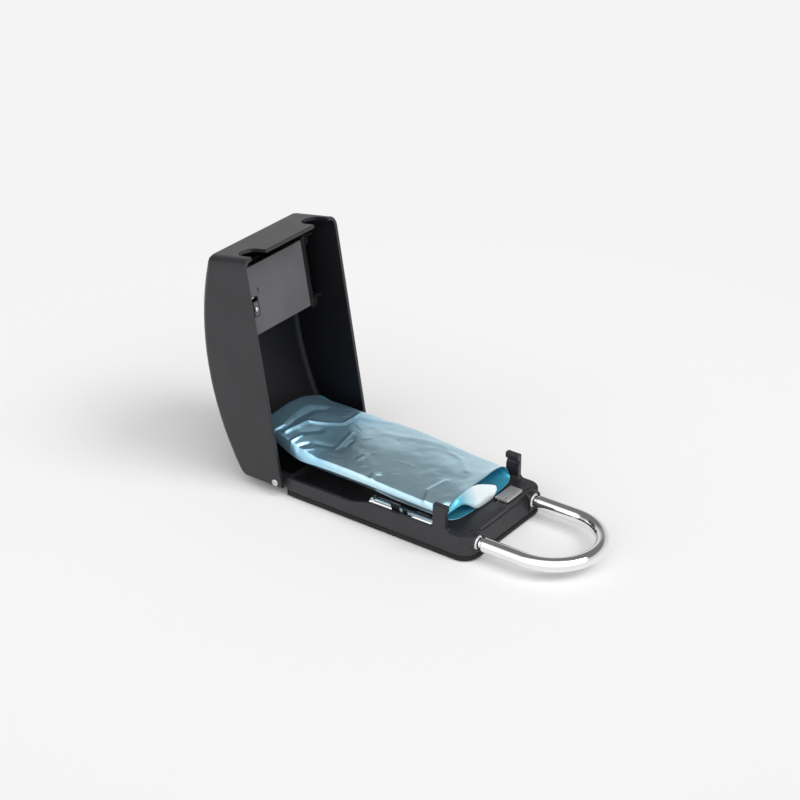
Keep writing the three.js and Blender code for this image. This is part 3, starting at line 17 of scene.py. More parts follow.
import bmesh
import bpy
import numpy as np
from mathutils import Matrix, Vector, noise

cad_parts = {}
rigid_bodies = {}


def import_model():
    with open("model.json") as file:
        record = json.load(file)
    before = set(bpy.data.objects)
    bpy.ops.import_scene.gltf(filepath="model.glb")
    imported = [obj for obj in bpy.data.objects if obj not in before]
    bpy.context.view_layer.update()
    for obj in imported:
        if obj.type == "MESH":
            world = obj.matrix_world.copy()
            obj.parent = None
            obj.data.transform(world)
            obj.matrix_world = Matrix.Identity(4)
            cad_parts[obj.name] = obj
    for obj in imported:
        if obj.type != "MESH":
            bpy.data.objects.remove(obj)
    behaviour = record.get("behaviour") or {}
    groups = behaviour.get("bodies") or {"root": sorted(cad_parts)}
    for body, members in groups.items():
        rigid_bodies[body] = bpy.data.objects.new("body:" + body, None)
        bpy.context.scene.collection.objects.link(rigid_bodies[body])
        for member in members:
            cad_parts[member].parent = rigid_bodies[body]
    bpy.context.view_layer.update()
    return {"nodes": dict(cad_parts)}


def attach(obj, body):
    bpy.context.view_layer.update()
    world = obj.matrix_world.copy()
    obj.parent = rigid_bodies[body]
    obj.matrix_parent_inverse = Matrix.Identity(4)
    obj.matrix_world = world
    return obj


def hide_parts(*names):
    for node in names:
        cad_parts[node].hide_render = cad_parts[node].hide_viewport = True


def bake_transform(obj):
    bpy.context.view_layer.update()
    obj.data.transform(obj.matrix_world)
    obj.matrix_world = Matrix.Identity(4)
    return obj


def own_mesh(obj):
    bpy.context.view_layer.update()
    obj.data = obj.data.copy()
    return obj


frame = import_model()

LOG = logging.getLogger("lockbox")
MM = 0.001
STEP = 0.01  # millimetres along the axis in which a turned step rises
Colour = tuple[float, float, float]
Point = tuple[float, float, float]
Profile = Sequence[tuple[float, float]]
Row = Sequence[float]
Test = Callable[[Vector, Vector], bool]


class Body(Enum):
    """The bodies that pieces ride on."""

    BASE = "base"
    SHACKLE = "shackle"
    RELEASE = "shackle_release"
    COVER = "cover"
    LATCH = "latch"
    BUTTON = "button"
    RESET = "reset"
    DIAL_1 = "dial_1"
    DIAL_2 = "dial_2"
    DIAL_3 = "dial_3"
    DIAL_4 = "dial_4"
    GATE_1 = "gate_1"
    GATE_2 = "gate_2"
    GATE_3 = "gate_3"
    GATE_4 = "gate_4"


class Axis(Enum):
    """A world axis by its index."""

    X = 0
    Y = 1
    Z = 2


DIALS = (Body.DIAL_1, Body.DIAL_2, Body.DIAL_3, Body.DIAL_4)
GATES = (Body.GATE_1, Body.GATE_2, Body.GATE_3, Body.GATE_4)
SIDES = (("near", -1), ("far", 1))


# Places


def at(x: float, y: float, z: float) -> Vector:
    """A point in metres from millimetres."""
    return Vector((x, y, z)) * MM


@dataclass(frozen=True)
class CoverPlace:
    """Where the open cover's own axes lie: u along the rim, y across, d behind the rim."""

    axis_x: float = -76.2
    axis_z: float = 8.9
    axis_u: float = 3.9
    axis_d: float = 5.3
    open_angle: float = 99.6

    def matrix(self) -> Matrix:
        """The transform from the cover's (u, y, d) in metres to the frame.

        Returns:
            A rotation about the hinge and a shift.
        """
        lean = math.radians(self.open_angle - 90)
        along = Vector((-math.sin(lean), 0, math.cos(lean)))
        behind = Vector((-math.cos(lean), 0, -math.sin(lean)))
        origin = at(self.axis_x, 0, self.axis_z)
        origin -= along * self.axis_u * MM + behind * self.axis_d * MM
        turn = Matrix((along, Vector((0, 1, 0)), behind)).transposed().to_4x4()
        return Matrix.Translation(origin) @ turn

    def point(self, u: float, y: float, d: float) -> Vector:
        """A point of the cover, in metres in the frame."""
        return self.matrix() @ at(u, y, d)


COVER = CoverPlace()


# Modelling


def deselect() -> None:
    """Leaves nothing selected and nothing active."""
    for piece in bpy.context.scene.objects:
        piece.select_set(False)
    bpy.context.view_layer.objects.active = None


def choose(*pieces: bpy.types.Object) -> None:
    """Leaves only some pieces selected, with the first of them active.

    Args:
        pieces: The pieces.
    """
    deselect()
    for piece in pieces:
        piece.select_set(True)
    bpy.context.view_layer.objects.active = pieces[0]


def linked(name: str, data: bpy.types.ID) -> bpy.types.Object:
    """A new object in the scene.

    Args:
        name: The object's name.
        data: Its mesh, camera or light.

    Returns:
        The object.
    """
    piece = bpy.data.objects.new(name, data)
    bpy.context.scene.collection.objects.link(piece)
    return piece


class Bench:
    """Edit-mode modelling of one mesh object, as by hand."""

    def __init__(self, piece: bpy.types.Object) -> None:
        """Takes a mesh object on to the bench."""
        self.piece = piece

    @classmethod
    def taken(cls, name: str) -> "Bench":
        """The primitive that was just added, under its own name.

        Args:
            name: The piece's name.

        Returns:
            A bench that holds it.
        """
        piece = bpy.context.object
        piece.name = name
        piece.data.name = name
        return cls(piece)

    @classmethod
    def disc(cls, name: str, radius: float, sides: int, axis: Axis, centre: Vector) -> "Bench":
        """A filled circle whose normal is an axis, to be extruded.

        Args:
            name: The piece's name.
            radius: In metres.
            sides: Corners of the circle.
            axis: The axis that it faces along.
            centre: In metres.

        Returns:
            A bench that holds it.
        """
        turn = {Axis.X: (0, math.pi / 2, 0), Axis.Y: (-math.pi / 2, 0, 0), Axis.Z: (0, 0, 0)}[axis]
        deselect()
        bpy.ops.mesh.primitive_circle_add(
            vertices=sides, radius=radius, fill_type="NGON", location=centre, rotation=turn)
        bpy.ops.object.transform_apply(location=True, rotation=True, scale=True)
        return cls.taken(name)

    @classmethod
    def turned(cls, name: str, profile: Profile, axis: Axis, foot: Vector, sides: int = 32) -> "Bench":
        """A closed turned form, extruded station by station from its first disc.

        Args:
            name: The piece's name.
            profile: Radius and distance along the axis, in millimetres.
            axis: The axis that it is turned about.
            foot: The point on the axis that distances count from, in metres.
            sides: Corners round the form.

        Returns:
            A bench that holds it.
        """
        way = Vector([float(index == axis.value) for index in range(3)])
        radius, along = profile[0]
        bench = cls.disc(name, radius * MM, sides, axis, foot + way * along * MM)
        with bench:
            bench.everything()
            bench.drawn(profile, way, foot)
        bench.closed()
        return bench

    def drawn(self, profile: Profile, way: Vector, foot: Vector) -> None:
        """Extrudes the selected disc through the stations of a profile, in edit mode.

        Args:
            profile: Radius and distance in millimetres; the disc is at the first.
            way: The direction of the axis.
            foot: The point on the axis that distances count from, in metres.
        """
        for (radius, along), (wider, further) in zip(profile, profile[1:]):
            bpy.ops.mesh.extrude_region_move(
                TRANSFORM_OT_translate={"value": way * (further - along) * MM})
            grow = wider / radius
            bpy.ops.transform.resize(value=(grow, grow, grow), center_override=foot + way * further * MM)

    @classmethod
    def cuboid(cls, name: str, low: Vector, high: Vector) -> "Bench":
        """A box between two corners, as a start for edit mode.

        Args:
            name: The piece's name.
            low: Lowest corner in metres.
            high: Highest corner in metres.

        Returns:
            A bench that holds it.
        """
        deselect()
        bpy.ops.mesh.primitive_cube_add(size=1, location=(low + high) / 2, scale=high - low)
        bpy.ops.object.transform_apply(location=True, rotation=True, scale=True)
        return cls.taken(name)

    @classmethod
    def copied(cls, node: str, name: str) -> "Bench":
        """A merged copy of a CAD node's mesh as a new piece.

        Args:
            node: The CAD node.
            name: The new piece's name.

        Returns:
            A bench that holds the copy.
        """
        piece = linked(name, frame["nodes"][node].data.copy())
        piece.data.name = name
        bench = cls(piece)
        with bench:
            bench.everything()
            bpy.ops.mesh.remove_doubles(threshold=2e-6)
            bpy.ops.mesh.dissolve_limited(angle_limit=math.radians(0.4))
        return bench

    def __enter__(self) -> "Bench":
        """Opens edit mode on the piece.

        Returns:
            The bench itself.
        """
        choose(self.piece)
        bpy.ops.object.mode_set(mode="EDIT")
        bpy.ops.mesh.select_mode(type="FACE")
        return self

    def __exit__(self, *_: Any) -> None:
        """Goes back to object mode."""
        bpy.ops.object.mode_set(mode="OBJECT")

    def everything(self) -> None:
        """Selects the whole mesh, in edit mode."""
        bpy.ops.mesh.select_all(action="SELECT")

    def cut(self, place: Vector, way: Point) -> None:
        """Cuts edges into the whole mesh where a plane passes, by its point in metres and normal."""
        self.everything()
        bpy.ops.mesh.bisect(plane_co=place, plane_no=way)

    def pick(self, test: Test) -> None:
        """Selects the faces that pass a test, in edit mode.

        Args:
            test: Told a face's middle in millimetres and its normal.
        """
        mesh = bmesh.from_edit_mesh(self.piece.data)
        bpy.ops.mesh.select_all(action="DESELECT")
        for face in mesh.faces:
            face.select = test(face.calc_center_median() / MM, face.normal)
        mesh.select_flush_mode()
        bmesh.update_edit_mesh(self.piece.data)

    def extrude(self, move: Vector) -> None:
        """Extrudes the selection by a move in millimetres."""
        bpy.ops.mesh.extrude_region_move(TRANSFORM_OT_translate={"value": move * MM})

    def inset(self, thickness: float, depth: float = 0.0) -> None:
        """Insets the selection by a border, and sinks it along its normal, in millimetres."""
        bpy.ops.mesh.inset(thickness=thickness * MM, depth=depth * MM)

    def closed(self) -> None:
        """Merges doubles and turns the normals outwards."""
        with self:
            self.everything()
            bpy.ops.mesh.remove_doubles(threshold=1e-6)
            bpy.ops.mesh.normals_make_consistent(inside=False)

    def modifier(self, kind: str, **settings: Any) -> None:
        """Adds a modifier and applies it.

        Args:
            kind: Blender's name of the modifier.
            settings: Its settings.
        """
        choose(self.piece)
        made = self.piece.modifiers.new(kind.title(), kind)
        for key, value in settings.items():
            setattr(made, key, value)
        bpy.ops.object.modifier_apply(modifier=made.name)

    def rounded(self, width: float, segments: int = 2, angle: float = 35) -> None:
        """Breaks the sharp edges.

        Args:
            width: In millimetres.
            segments: Faces across the rounding.
            angle: Edges sharper than this are rounded.
        """
        self.modifier("BEVEL", width=width * MM, segments=segments, limit_method="ANGLE",
                      angle_limit=math.radians(angle), use_clamp_overlap=False,
                      miter_outer="MITER_ARC")

    def smooth(self, angle: float = 32) -> None:
        """Shades smooth up to an angle, with the flat faces kept flat.

        Args:
            angle: Edges sharper than this stay sharp.
        """
        choose(self.piece)
        bpy.ops.object.shade_smooth_by_angle(angle=math.radians(angle))
        self.modifier("WEIGHTED_NORMAL", weight=60, keep_sharp=True)

    def placed(self, matrix: Matrix) -> None:
        """Moves the mesh itself by a transform."""
        self.piece.data.transform(matrix)
        self.piece.data.update()


def twin(piece: bpy.types.Object, name: str, matrix: Matrix, mirrored: bool = False) -> bpy.types.Object:
    """A copy of a finished piece with its own mesh, put in another place.

    Args:
        piece: The piece that was modelled.
        name: The copy's name.
        matrix: The transform of the copy's mesh.
        mirrored: Whether the transform turns the shape inside out.

    Returns:
        The new piece.
    """
    copy = piece.copy()
    copy.data = piece.data.copy()
    copy.name = copy.data.name = name
    bpy.context.scene.collection.objects.link(copy)
    copy.data.transform(matrix)
    if mirrored:
        copy.data.flip_normals()
    return copy


def joined(pieces: Sequence[bpy.types.Object], name: str) -> bpy.types.Object:
    """Several pieces as one object.

    Args:
        pieces: The pieces.
        name: The name of the whole.

    Returns:
        The joined piece.
    """
    choose(*pieces)
    bpy.ops.object.join()
    whole = bpy.context.object
    whole.name = whole.data.name = name
    return whole


# Materials


class Wire:
    """A shader socket on which Python arithmetic adds Math nodes."""

    def __init__(self, board: "Board", socket: bpy.types.NodeSocket) -> None:
        """Wraps an output socket of a board."""
        self.board = board
        self.socket = socket

    def _with(self, other: "Wire | float", operation: str, flipped: bool = False) -> "Wire":
        """Adds one Math node, with the other value second, or first where flipped."""
        values = (other, self) if flipped else (self, other)
        return self.board.node("ShaderNodeMath", {"operation": operation}, dict(enumerate(values)))

    def __add__(self, other: "Wire | float") -> "Wire":
        """self + other."""
        return self._with(other, "ADD")

    def __radd__(self, other: float) -> "Wire":
        """other + self."""
        return self._with(other, "ADD", True)

    def __sub__(self, other: "Wire | float") -> "Wire":
        """self - other."""
        return self._with(other, "SUBTRACT")

    def __rsub__(self, other: float) -> "Wire":
        """other - self."""
        return self._with(other, "SUBTRACT", True)

    def __mul__(self, other: "Wire | float") -> "Wire":
        """self * other."""
        return self._with(other, "MULTIPLY")

    def __rmul__(self, other: float) -> "Wire":
        """other * self."""
        return self._with(other, "MULTIPLY", True)

    def clipped(self, low: float, high: float) -> "Wire":
        """The value spread from low..high to 0..1 and held there."""
        return self.board.node("ShaderNodeMapRange", {"clamp": True},
                               {"Value": self, "From Min": low, "From Max": high})


class Board:
    """One material and its nodes."""

    def __init__(self, owner: bpy.types.Material | bpy.types.World) -> None:
        """Clears a material's or a world's nodes.

        Args:
            owner: What the nodes belong to.
        """
        owner.use_nodes = True
        self.material = owner
        self.tree = owner.node_tree
        self.tree.nodes.clear()

    @classmethod
    def named(cls, name: str) -> "Board":
        """Starts the empty board of a new material."""
        return cls(bpy.data.materials.new(name))

    def node(self, kind: str, settings: dict[str, Any] | None = None,
             inputs: dict[Any, Any] | None = None, output: int | str = 0) -> Wire:
        """Adds any node.

        Args:
            kind: Blender's type of the node.
            settings: Its settings; "stops" are a colour ramp's places and colours.
            inputs: Values or wires by the input's name or number.
            output: The output to hand on.

        Returns:
            The wire from that output.
        """
        made = self.tree.nodes.new(kind)
        for key, value in (settings or {}).items():
            if key == "stops":
                self._stops(made.color_ramp, value)
            else:
                setattr(made, key, value)
        for key, value in (inputs or {}).items():
            self._feed(made.inputs[key], value)
        return Wire(self, made.outputs[output]) if len(made.outputs) else Wire(self, None)

    def _stops(self, ramp: bpy.types.ColorRamp, stops: Sequence[tuple[float, Colour]]) -> None:
        """Sets a ramp's stops.

        Args:
            ramp: The ramp, which starts with two stops.
            stops: Each stop's place and colour.
        """
        while len(ramp.elements) < len(stops):
            ramp.elements.new(0.5)
        for element, (place, colour) in zip(ramp.elements, stops):
            element.position = place
            element.color = (*colour, 1)

    def _feed(self, socket: bpy.types.NodeSocket, value: Any) -> None:
        """Gives a socket a wire or a value.

        Args:
            socket: The input socket.
            value: A wire, a number, a colour or a vector.
        """
        if isinstance(value, Wire):
            self.tree.links.new(value.socket, socket)
        elif hasattr(value, "__len__") and len(value) == 3 and socket.type == "RGBA":
            socket.default_value = (*value, 1)
        else:
            socket.default_value = value

    def place(self, stretch: Point = (1, 1, 1)) -> Wire:
        """Object coordinates, stretched along each axis."""
        coordinates = self.node("ShaderNodeTexCoord", output="Object")
        return self.node("ShaderNodeMapping", {}, {"Vector": coordinates, "Scale": stretch})

    def noise(self, scale: float, detail: float = 3, vector: Wire | None = None) -> Wire:
        """A noise from 0 to 1 in object space, by waves in a metre and octaves."""
        return self.node("ShaderNodeTexNoise", {}, {
            "Vector": vector or self.place(), "Scale": scale, "Detail": detail})

    def mix(self, factor: Wire | float, first: Any, second: Any) -> Wire:
        """A mix of two colours or wires, from the first at 0 to the second at 1."""
        return self.node("ShaderNodeMix", {"data_type": "RGBA"}, {0: factor, 6: first, 7: second}, 2)

    def bump(self, height: Wire, distance: float, strength: float = 1.0) -> Wire:
        """The normal of a pattern from 0 to 1, where 1 is a distance in metres."""
        return self.node("ShaderNodeBump", {}, {
            "Height": height, "Distance": distance, "Strength": strength})

    def finished(self, **sockets: Any) -> bpy.types.Material:
        """Adds the Principled shader and the output.

        Args:
            sockets: Values by the socket's name, with _ for a space.

        Returns:
            The material.
        """
        named = {key.replace("_", " "): value for key, value in sockets.items()}
        shader = self.node("ShaderNodeBsdfPrincipled", {}, named)
        self.node("ShaderNodeOutputMaterial", {}, {"Surface": shader})
        return self.material


class Finish:
    """A finish that is made once and painted on any number of pieces."""

    made: dict[str, bpy.types.Material] = {}

    def build(self) -> bpy.types.Material:
        """Makes the node material."""
        raise NotImplementedError

    def material(self) -> bpy.types.Material:
        """The one material of this finish.

        Returns:
            The material, made at the first call.
        """
        if self.name not in Finish.made:
            Finish.made[self.name] = self.build()
        return Finish.made[self.name]

    def paint(self, *pieces: bpy.types.Object) -> None:
        """Gives the finish to pieces, in the place of what they had.

        Args:
            pieces: CAD nodes or pieces of this script.
        """
        for piece in pieces:
            if not piece.material_slots:
                piece.data.materials.append(None)
            for place in piece.material_slots:
                place.material = self.material()


@dataclass(frozen=True)
class Coating(Finish):
    """A painted, powder-coated or moulded surface."""

    name: str
    colour: Colour
    roughness: float
    grain: float = 2600
    grain_height: float = 0.00002
    mottle: float = 0.12
    edge: Colour = (0.16, 0.16, 0.165)
    metallic: float = 0.0
    specular: float = 0.5
    clouds: float = 38
    flecks: float = 700
    fleck_share: float = 0.25
    smears: float = 90
    smear: float = 0.1

    def build(self) -> bpy.types.Material:
        """Grain in the bump, a faint mottle in colour and gloss, and sparse pale flecks.

        Returns:
            The node material.
        """
        board = Board.named(self.name)
        shade = board.mix(board.noise(self.clouds, 4).clipped(0.3, 0.7),
                          [c * (1 - self.mottle) for c in self.colour],
                          [c * (1 + self.mottle) for c in self.colour])
        fleck = board.noise(self.flecks, 2).clipped(0.66, 0.78) * self.fleck_share
        colour = board.mix(fleck, shade, self.edge)
        gloss = self.roughness - self.smear / 2 + board.noise(self.smears, 3) * self.smear
        bump = board.bump(board.noise(self.grain, 2), self.grain_height, 0.35)
        return board.finished(Base_Color=colour, Roughness=gloss, Normal=bump,
                              Metallic=self.metallic, Specular_IOR_Level=self.specular)


@dataclass(frozen=True)
class Rubber(Finish):
    """Matt rubber with a faint bloom."""

    name: str = "black_rubber"
    colour: Colour = (0.011, 0.0095, 0.0105)
    bloom: Colour = (0.03, 0.028, 0.03)
    blotches: float = 60
    skin: float = 1500
    skin_height: float = 0.00006

    def build(self) -> bpy.types.Material:
        """Blotches of bloom, and a fine skin in the bump.

        Returns:
            The node material.
        """
        board = Board.named(self.name)
        cloud = board.noise(self.blotches, 5).clipped(0.45, 0.75)
        colour = board.mix(cloud * 0.5, self.colour, self.bloom)
        bump = board.bump(board.noise(self.skin, 3), self.skin_height, 0.5)
        return board.finished(Base_Color=colour, Roughness=0.78 + cloud * 0.1, Normal=bump,
                              Specular_IOR_Level=0.35)


@dataclass(frozen=True)
class Polished(Finish):
    """Plated or polished metal with faint wipe marks."""

    name: str
    colour: Colour
    roughness: float
    lines: Point = (30, 900, 900)
    line_height: float = 0.0000015
    wipes: float = 55
    wipe: float = 0.07

    def build(self) -> bpy.types.Material:
        """Wipe marks in the gloss and drawn lines in the bump.

        Returns:
            The node material.
        """
        board = Board.named(self.name)
        wiped = board.noise(self.wipes, 4).clipped(0.4, 0.8)
        drawn = board.noise(1.0, 2, board.place(self.lines))
        colour = board.mix(wiped * 0.25, self.colour, [c * 0.86 for c in self.colour])
        bump = board.bump(drawn, self.line_height, 0.6)
        return board.finished(Base_Color=colour, Metallic=1.0, Normal=bump,
                              Roughness=self.roughness + wiped * self.wipe)


@dataclass(frozen=True)
class Film(Finish):
    """Metallised plastic film with fine crinkles, and painted shade towards the pouch's rear."""

    name: str
    colour: Colour
    deep: Colour
    roughness: float
    metallic: float = 0.92
    crinkle: float = 0.00035
    # shade and shade_edge: the colour of the painted shade, and the X span in metres where it gives way
    # to the plain tint
    shade: Colour = (1, 1, 1)
    shade_edge: tuple[float, float] = (-0.056, -0.036)
    wander: float = 0.016
    facets: float = 80
    patches: float = 24
    waves: float = 40
    clouds: float = 32
    smears: float = 70
    smear: float = 0.08

    def shaded(self, board: Board, tint: Wire) -> Wire:
        """The tint, darkened by painted shade where the film leans into the cover.

        Args:
            board: The film's board.
            tint: Its colour in the open.

        Returns:
            The colour along the pouch, with the painted shade.
        """
        place = board.place()
        along = board.node("ShaderNodeSeparateXYZ", {}, {0: place}, "X")
        across = board.node("ShaderNodeSeparateXYZ", {}, {0: place}, "Y")
        wander = board.noise(85, 4) * self.wander - self.wander / 2
        # painted shade: behind shade_edge the film's colour is multiplied by the shade colour
        deep = (along + across * 0.1 + wander).clipped(*self.shade_edge)
        dark = board.node("ShaderNodeMix", {"data_type": "RGBA", "blend_type": "MULTIPLY"},
                          {0: 1.0, 6: tint, 7: self.shade}, 2)
        return board.mix(deep, dark, tint)

    def build(self) -> bpy.types.Material:
        """Soft facets in the bump, clouds in tint and gloss, and painted shade towards the rear.

        Returns:
            The node material.
        """
        board = Board.named(self.name)
        facets = board.node("ShaderNodeTexVoronoi", {"feature": "SMOOTH_F1"}, {
            "Vector": board.place((1, 1.6, 1.2)), "Scale": self.facets, "Randomness": 1.0,
            "Smoothness": 0.12})
        where = board.noise(self.patches, 3).clipped(0.45, 0.7)
        height = facets * where * 0.8 + board.noise(self.waves, 2) * 0.8
        tint = board.mix(board.noise(self.clouds, 4).clipped(0.35, 0.7), self.colour, self.deep)
        gloss = self.roughness + board.noise(self.smears, 3).clipped(0.3, 0.8) * self.smear
        return board.finished(Base_Color=self.shaded(board, tint), Metallic=self.metallic,
                              Roughness=gloss, Normal=board.bump(height, self.crinkle, 0.6))


@dataclass(frozen=True)
class LitFilm(Film):
    """The film's lip: a painted highlight makes it pale towards its far end, where it faces the light,
    and it is deep towards its near end.
    """

    start: float = -0.02
    end: float = -0.004
    wander: float = 0.004
    ripples: float = 120
    ripple: float = 0.0002

    def build(self) -> bpy.types.Material:
        """A tint that runs along Y from deep to a pale painted highlight, with clouds in the gloss.

        Returns:
            The node material.
        """
        board = Board.named(self.name)
        across = board.node("ShaderNodeSeparateXYZ", {}, {0: board.place()}, "Y")
        # painted highlight: the lip turns pale from y = start to y = end
        share = (across + board.noise(60, 3) * self.wander).clipped(self.start, self.end)
        tint = board.mix(share, self.deep, self.colour)
        gloss = self.roughness + board.noise(self.smears, 3).clipped(0.3, 0.8) * self.smear
        return board.finished(Base_Color=tint, Metallic=self.metallic, Roughness=gloss,
                              Normal=board.bump(board.noise(self.ripples, 2), self.ripple, 0.5))


@dataclass(frozen=True)
class Paint(Finish):
    """Pad-printed marks with slightly thin spots."""

    name: str = "white_paint"
    colour: Colour = (0.78, 0.78, 0.76)
    thin: Colour = (0.45, 0.45, 0.45)
    wear: float = 1400

    def build(self) -> bpy.types.Material:
        """Thin spots where the paint has worn.

        Returns:
            The node material.
        """
        board = Board.named(self.name)
        worn = board.noise(self.wear, 3).clipped(0.58, 0.8)
        colour = board.mix(worn, self.colour, self.thin)
        return board.finished(Base_Color=colour, Roughness=0.5 + worn * 0.15)


BLACK_COAT = Coating("black_coat", (0.0215, 0.0203, 0.0235), 0.34, specular=0.4)
# rough coat for the cover's inner faces, darker in colour as painted shade inside the cover
INNER_SHADED_COAT = Coating("inner_shaded_coat", (0.0062, 0.0061, 0.0086), 0.5, edge=(0.015, 0.015, 0.016),
                     specular=0.32)
BLACK_SCREW = Coating("black_oxide", (0.012, 0.012, 0.013), 0.32, grain=5000, metallic=0.5,
                      edge=(0.05, 0.05, 0.05))
PLATE_COAT = Coating("plate_grey", (0.093, 0.089, 0.096), 0.6, grain=3400, edge=(0.25, 0.25, 0.26))
BLACK_PLASTIC = Coating("black_plastic", (0.02, 0.02, 0.021), 0.38, grain=1800)
DARK_STEEL = Coating("dark_steel", (0.045, 0.045, 0.048), 0.35, metallic=0.7, edge=(0.3, 0.3, 0.3))
BRUSHED = (1400, 60, 1400)
RUBBER = Rubber()
CHROME = Polished("chrome", (0.86, 0.865, 0.875), 0.05)
BRIGHT_STEEL = Polished("bright_steel", (0.62, 0.61, 0.6), 0.2, BRUSHED, 0.000004)
BRUSHED_STEEL = Polished("brushed_steel", (0.92, 0.88, 0.86), 0.42, BRUSHED, 0.000004)
SPRING_STEEL = Polished("spring_steel", (0.5, 0.5, 0.5), 0.25)
BRASS = Polished("brass", (0.72, 0.52, 0.24), 0.22)
# the outside film carries painted shade towards the pouch's rear, in its shade colour
FILM_OUTSIDE = Film("foil", (0.58, 0.82, 0.93), (0.5, 0.75, 0.88), 0.27, metallic=0.88,
                    shade=(0.74, 0.9, 1.0))
# painted shade: the film's inner face gets a deeper teal for the shade inside the sleeve
FILM_INSIDE = Film("foil_inside", (0.12, 0.6, 0.78), (0.08, 0.5, 0.68), 0.3, metallic=0.6)
# the lip's pale colour is a painted highlight
FILM_LIP = LitFilm("foil_lip", (0.86, 0.95, 0.98), (0.12, 0.5, 0.66), 0.3, metallic=0.6)
WHITE_PAINT = Paint()


def settle(piece: bpy.types.Object, body: Body, finish: Finish,
           replaced: Iterable[str] = ()) -> bpy.types.Object:
    """Paints a piece, lets it ride on its body and hides the CAD nodes that it replaces.

    Args:
        piece: The finished piece.
        body: The body that it moves with.
        finish: Its finish.
        replaced: CAD nodes that it replaces.

    Returns:
        The piece.
    """
    finish.paint(piece)
    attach(piece, body.value)
    names = list(replaced)
    if names:
        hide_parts(*names)
    LOG.info("%s rides on %s with %d faces", piece.name, body.value, len(piece.data.polygons))
    return piece


# Pieces that keep their CAD shape, with broken edges


@dataclass(frozen=True)
class Refined:
    """A CAD node whose shape is kept, with its edges broken and its curves shaded smooth."""

    node: str
    name: str
    body: Body
    finish: Finish
    slot: str
    edge: float = 0.25
    segments: int = 2
    angle: float = 32

    def build(self) -> bpy.types.Object:
        """Copies the node's mesh, rounds its edges and settles it.

        Returns:
            The new piece.
        """
        bench = Bench.copied(self.node, self.name)
        if self.edge:
            bench.rounded(self.edge, self.segments)
        bench.smooth(self.angle)
        return settle(bench.piece, self.body, self.finish, [self.node])


REFINED = (
    Refined("shackle_clip_near", "snap_clip_near", Body.BASE, BLACK_PLASTIC, "black_plastic", 0.15),
    Refined("shackle_clip_far", "snap_clip_far", Body.BASE, BLACK_PLASTIC, "black_plastic", 0.15),
    Refined("shackle_release", "release_slide_tab", Body.RELEASE, BRUSHED_STEEL, "bright_steel", 0.15),
    # the carrier bracket is given dark steel as painted shade, where it shows in the dark reset slot
    Refined("gate_carrier", "carrier_bracket", Body.RESET, DARK_STEEL, "bright_steel", 0.12),
    Refined("dial_axle", "axle_rod", Body.RESET, BRIGHT_STEEL, "bright_steel", 0.1),
    Refined("dial_frame", "dial_channel", Body.COVER, BRIGHT_STEEL, "bright_steel", 0.12),
    Refined("detent_spring", "detent_comb", Body.COVER, SPRING_STEEL, "bright_steel", 0.05, 1),
    Refined("latch_plate", "latch_slide", Body.LATCH, BRIGHT_STEEL, "bright_steel", 0.12),
    *(Refined(f"gate_{i}", f"gate_disc_{i}", body, BRASS, "brass", 0.1)
      for i, body in enumerate(GATES, 1)),
)


@dataclass(frozen=True)
class Cover:
    """The deep cover: the CAD shape with soft edges, and a rougher coat on its inner faces, darker as
    painted shade.
    """

    edge: float = 0.4
    inside: Point = (75, 0, 14)
    facing: float = 0.12

    def build(self) -> bpy.types.Object:
        """Copies the shell, rounds it and parts its finishes.

        Returns:
            The housing.
        """
        bench = Bench.copied("cover_shell", "cover_housing")
        bench.rounded(self.edge, 3)
        bench.smooth(30)
        piece = settle(bench.piece, Body.COVER, BLACK_COAT, ["cover_shell"])
        piece.data.materials.append(INNER_SHADED_COAT.material())
        middle = COVER.point(*self.inside)
        # faces that look into the cover take the darker coat: painted shade
        for face in piece.data.polygons:
            inner = face.normal.dot((middle - face.center).normalized()) > self.facing
            face.material_index = int(inner)
        return piece


@dataclass(frozen=True)
class Plate:
    """The mechanism plate, grey with ears painted black for their shade and for the black of the cover's
    posts, and the reset block in its slot.
    """

    edge: float = 0.2
    ear: float = 26.6
    ear_seam: float = 0.05
    margin: float = 0.8

    def build(self) -> bpy.types.Object:
        """Copies the plate and parts its finishes, then copies the block, a little narrower.

        Returns:
            The plate.
        """
        bench = Bench.copied("mechanism_plate", "mechanism_cover_plate")
        with bench:
            for sign in (-1, 1):
                bench.cut(at(0, sign * self.ear, 0), (0, 1, 0))
        bench.rounded(self.edge)
        bench.smooth()
        piece = settle(bench.piece, Body.COVER, PLATE_COAT, ["mechanism_plate"])
        # the ears take the black finish: painted shade, and the black of the cover's posts behind them
        piece.data.materials.append(BLACK_SCREW.material())
        for face in piece.data.polygons:
            face.material_index = int(abs(face.center.y) > (self.ear - self.ear_seam) * MM)
        self.block()
        return piece

    def block(self) -> bpy.types.Object:
        """The sliding block that the reset screw sits in.

        Returns:
            The block.
        """
        bench = Bench.copied("reset_slider", "reset_block")
        with bench:
            bench.pick(lambda middle, normal: normal.y < -0.9)
            bpy.ops.transform.translate(value=at(0, self.margin, 0))
        bench.rounded(0.25)
        bench.smooth()
        return settle(bench.piece, Body.RESET, PLATE_COAT, ["reset_slider"])


@dataclass(frozen=True)
class Tray:
    """The cast tray: the CAD shape with slimmer catch hooks that flare into the deck."""

    edge: float = 0.35
    foot: float = 18.6
    root: float = 17.6
    rear: float = 43.3
    outer: float = 41.7
    deck: float = 30.0
    slim: Point = (0.86, 0.74, 0.92)

    def build(self) -> bpy.types.Object:
        """Copies the tray, slims both hooks and softens its edges.

        Returns:
            The tray.
        """
        bench = Bench.copied("base_tray", "tray_casting")
        with bench:
            bench.cut(at(0, 0, self.foot), (0, 0, 1))
            for _, sign in SIDES:
                bench.pick(lambda middle, normal: middle.z > self.foot and middle.x > self.deck
                           and middle.y * sign > 0)
                bpy.ops.transform.resize(
                    value=self.slim, center_override=at(self.rear, self.outer * sign, self.root))
        bench.rounded(self.edge)
        bench.smooth()
        return settle(bench.piece, Body.BASE, BLACK_COAT, ["base_tray"])


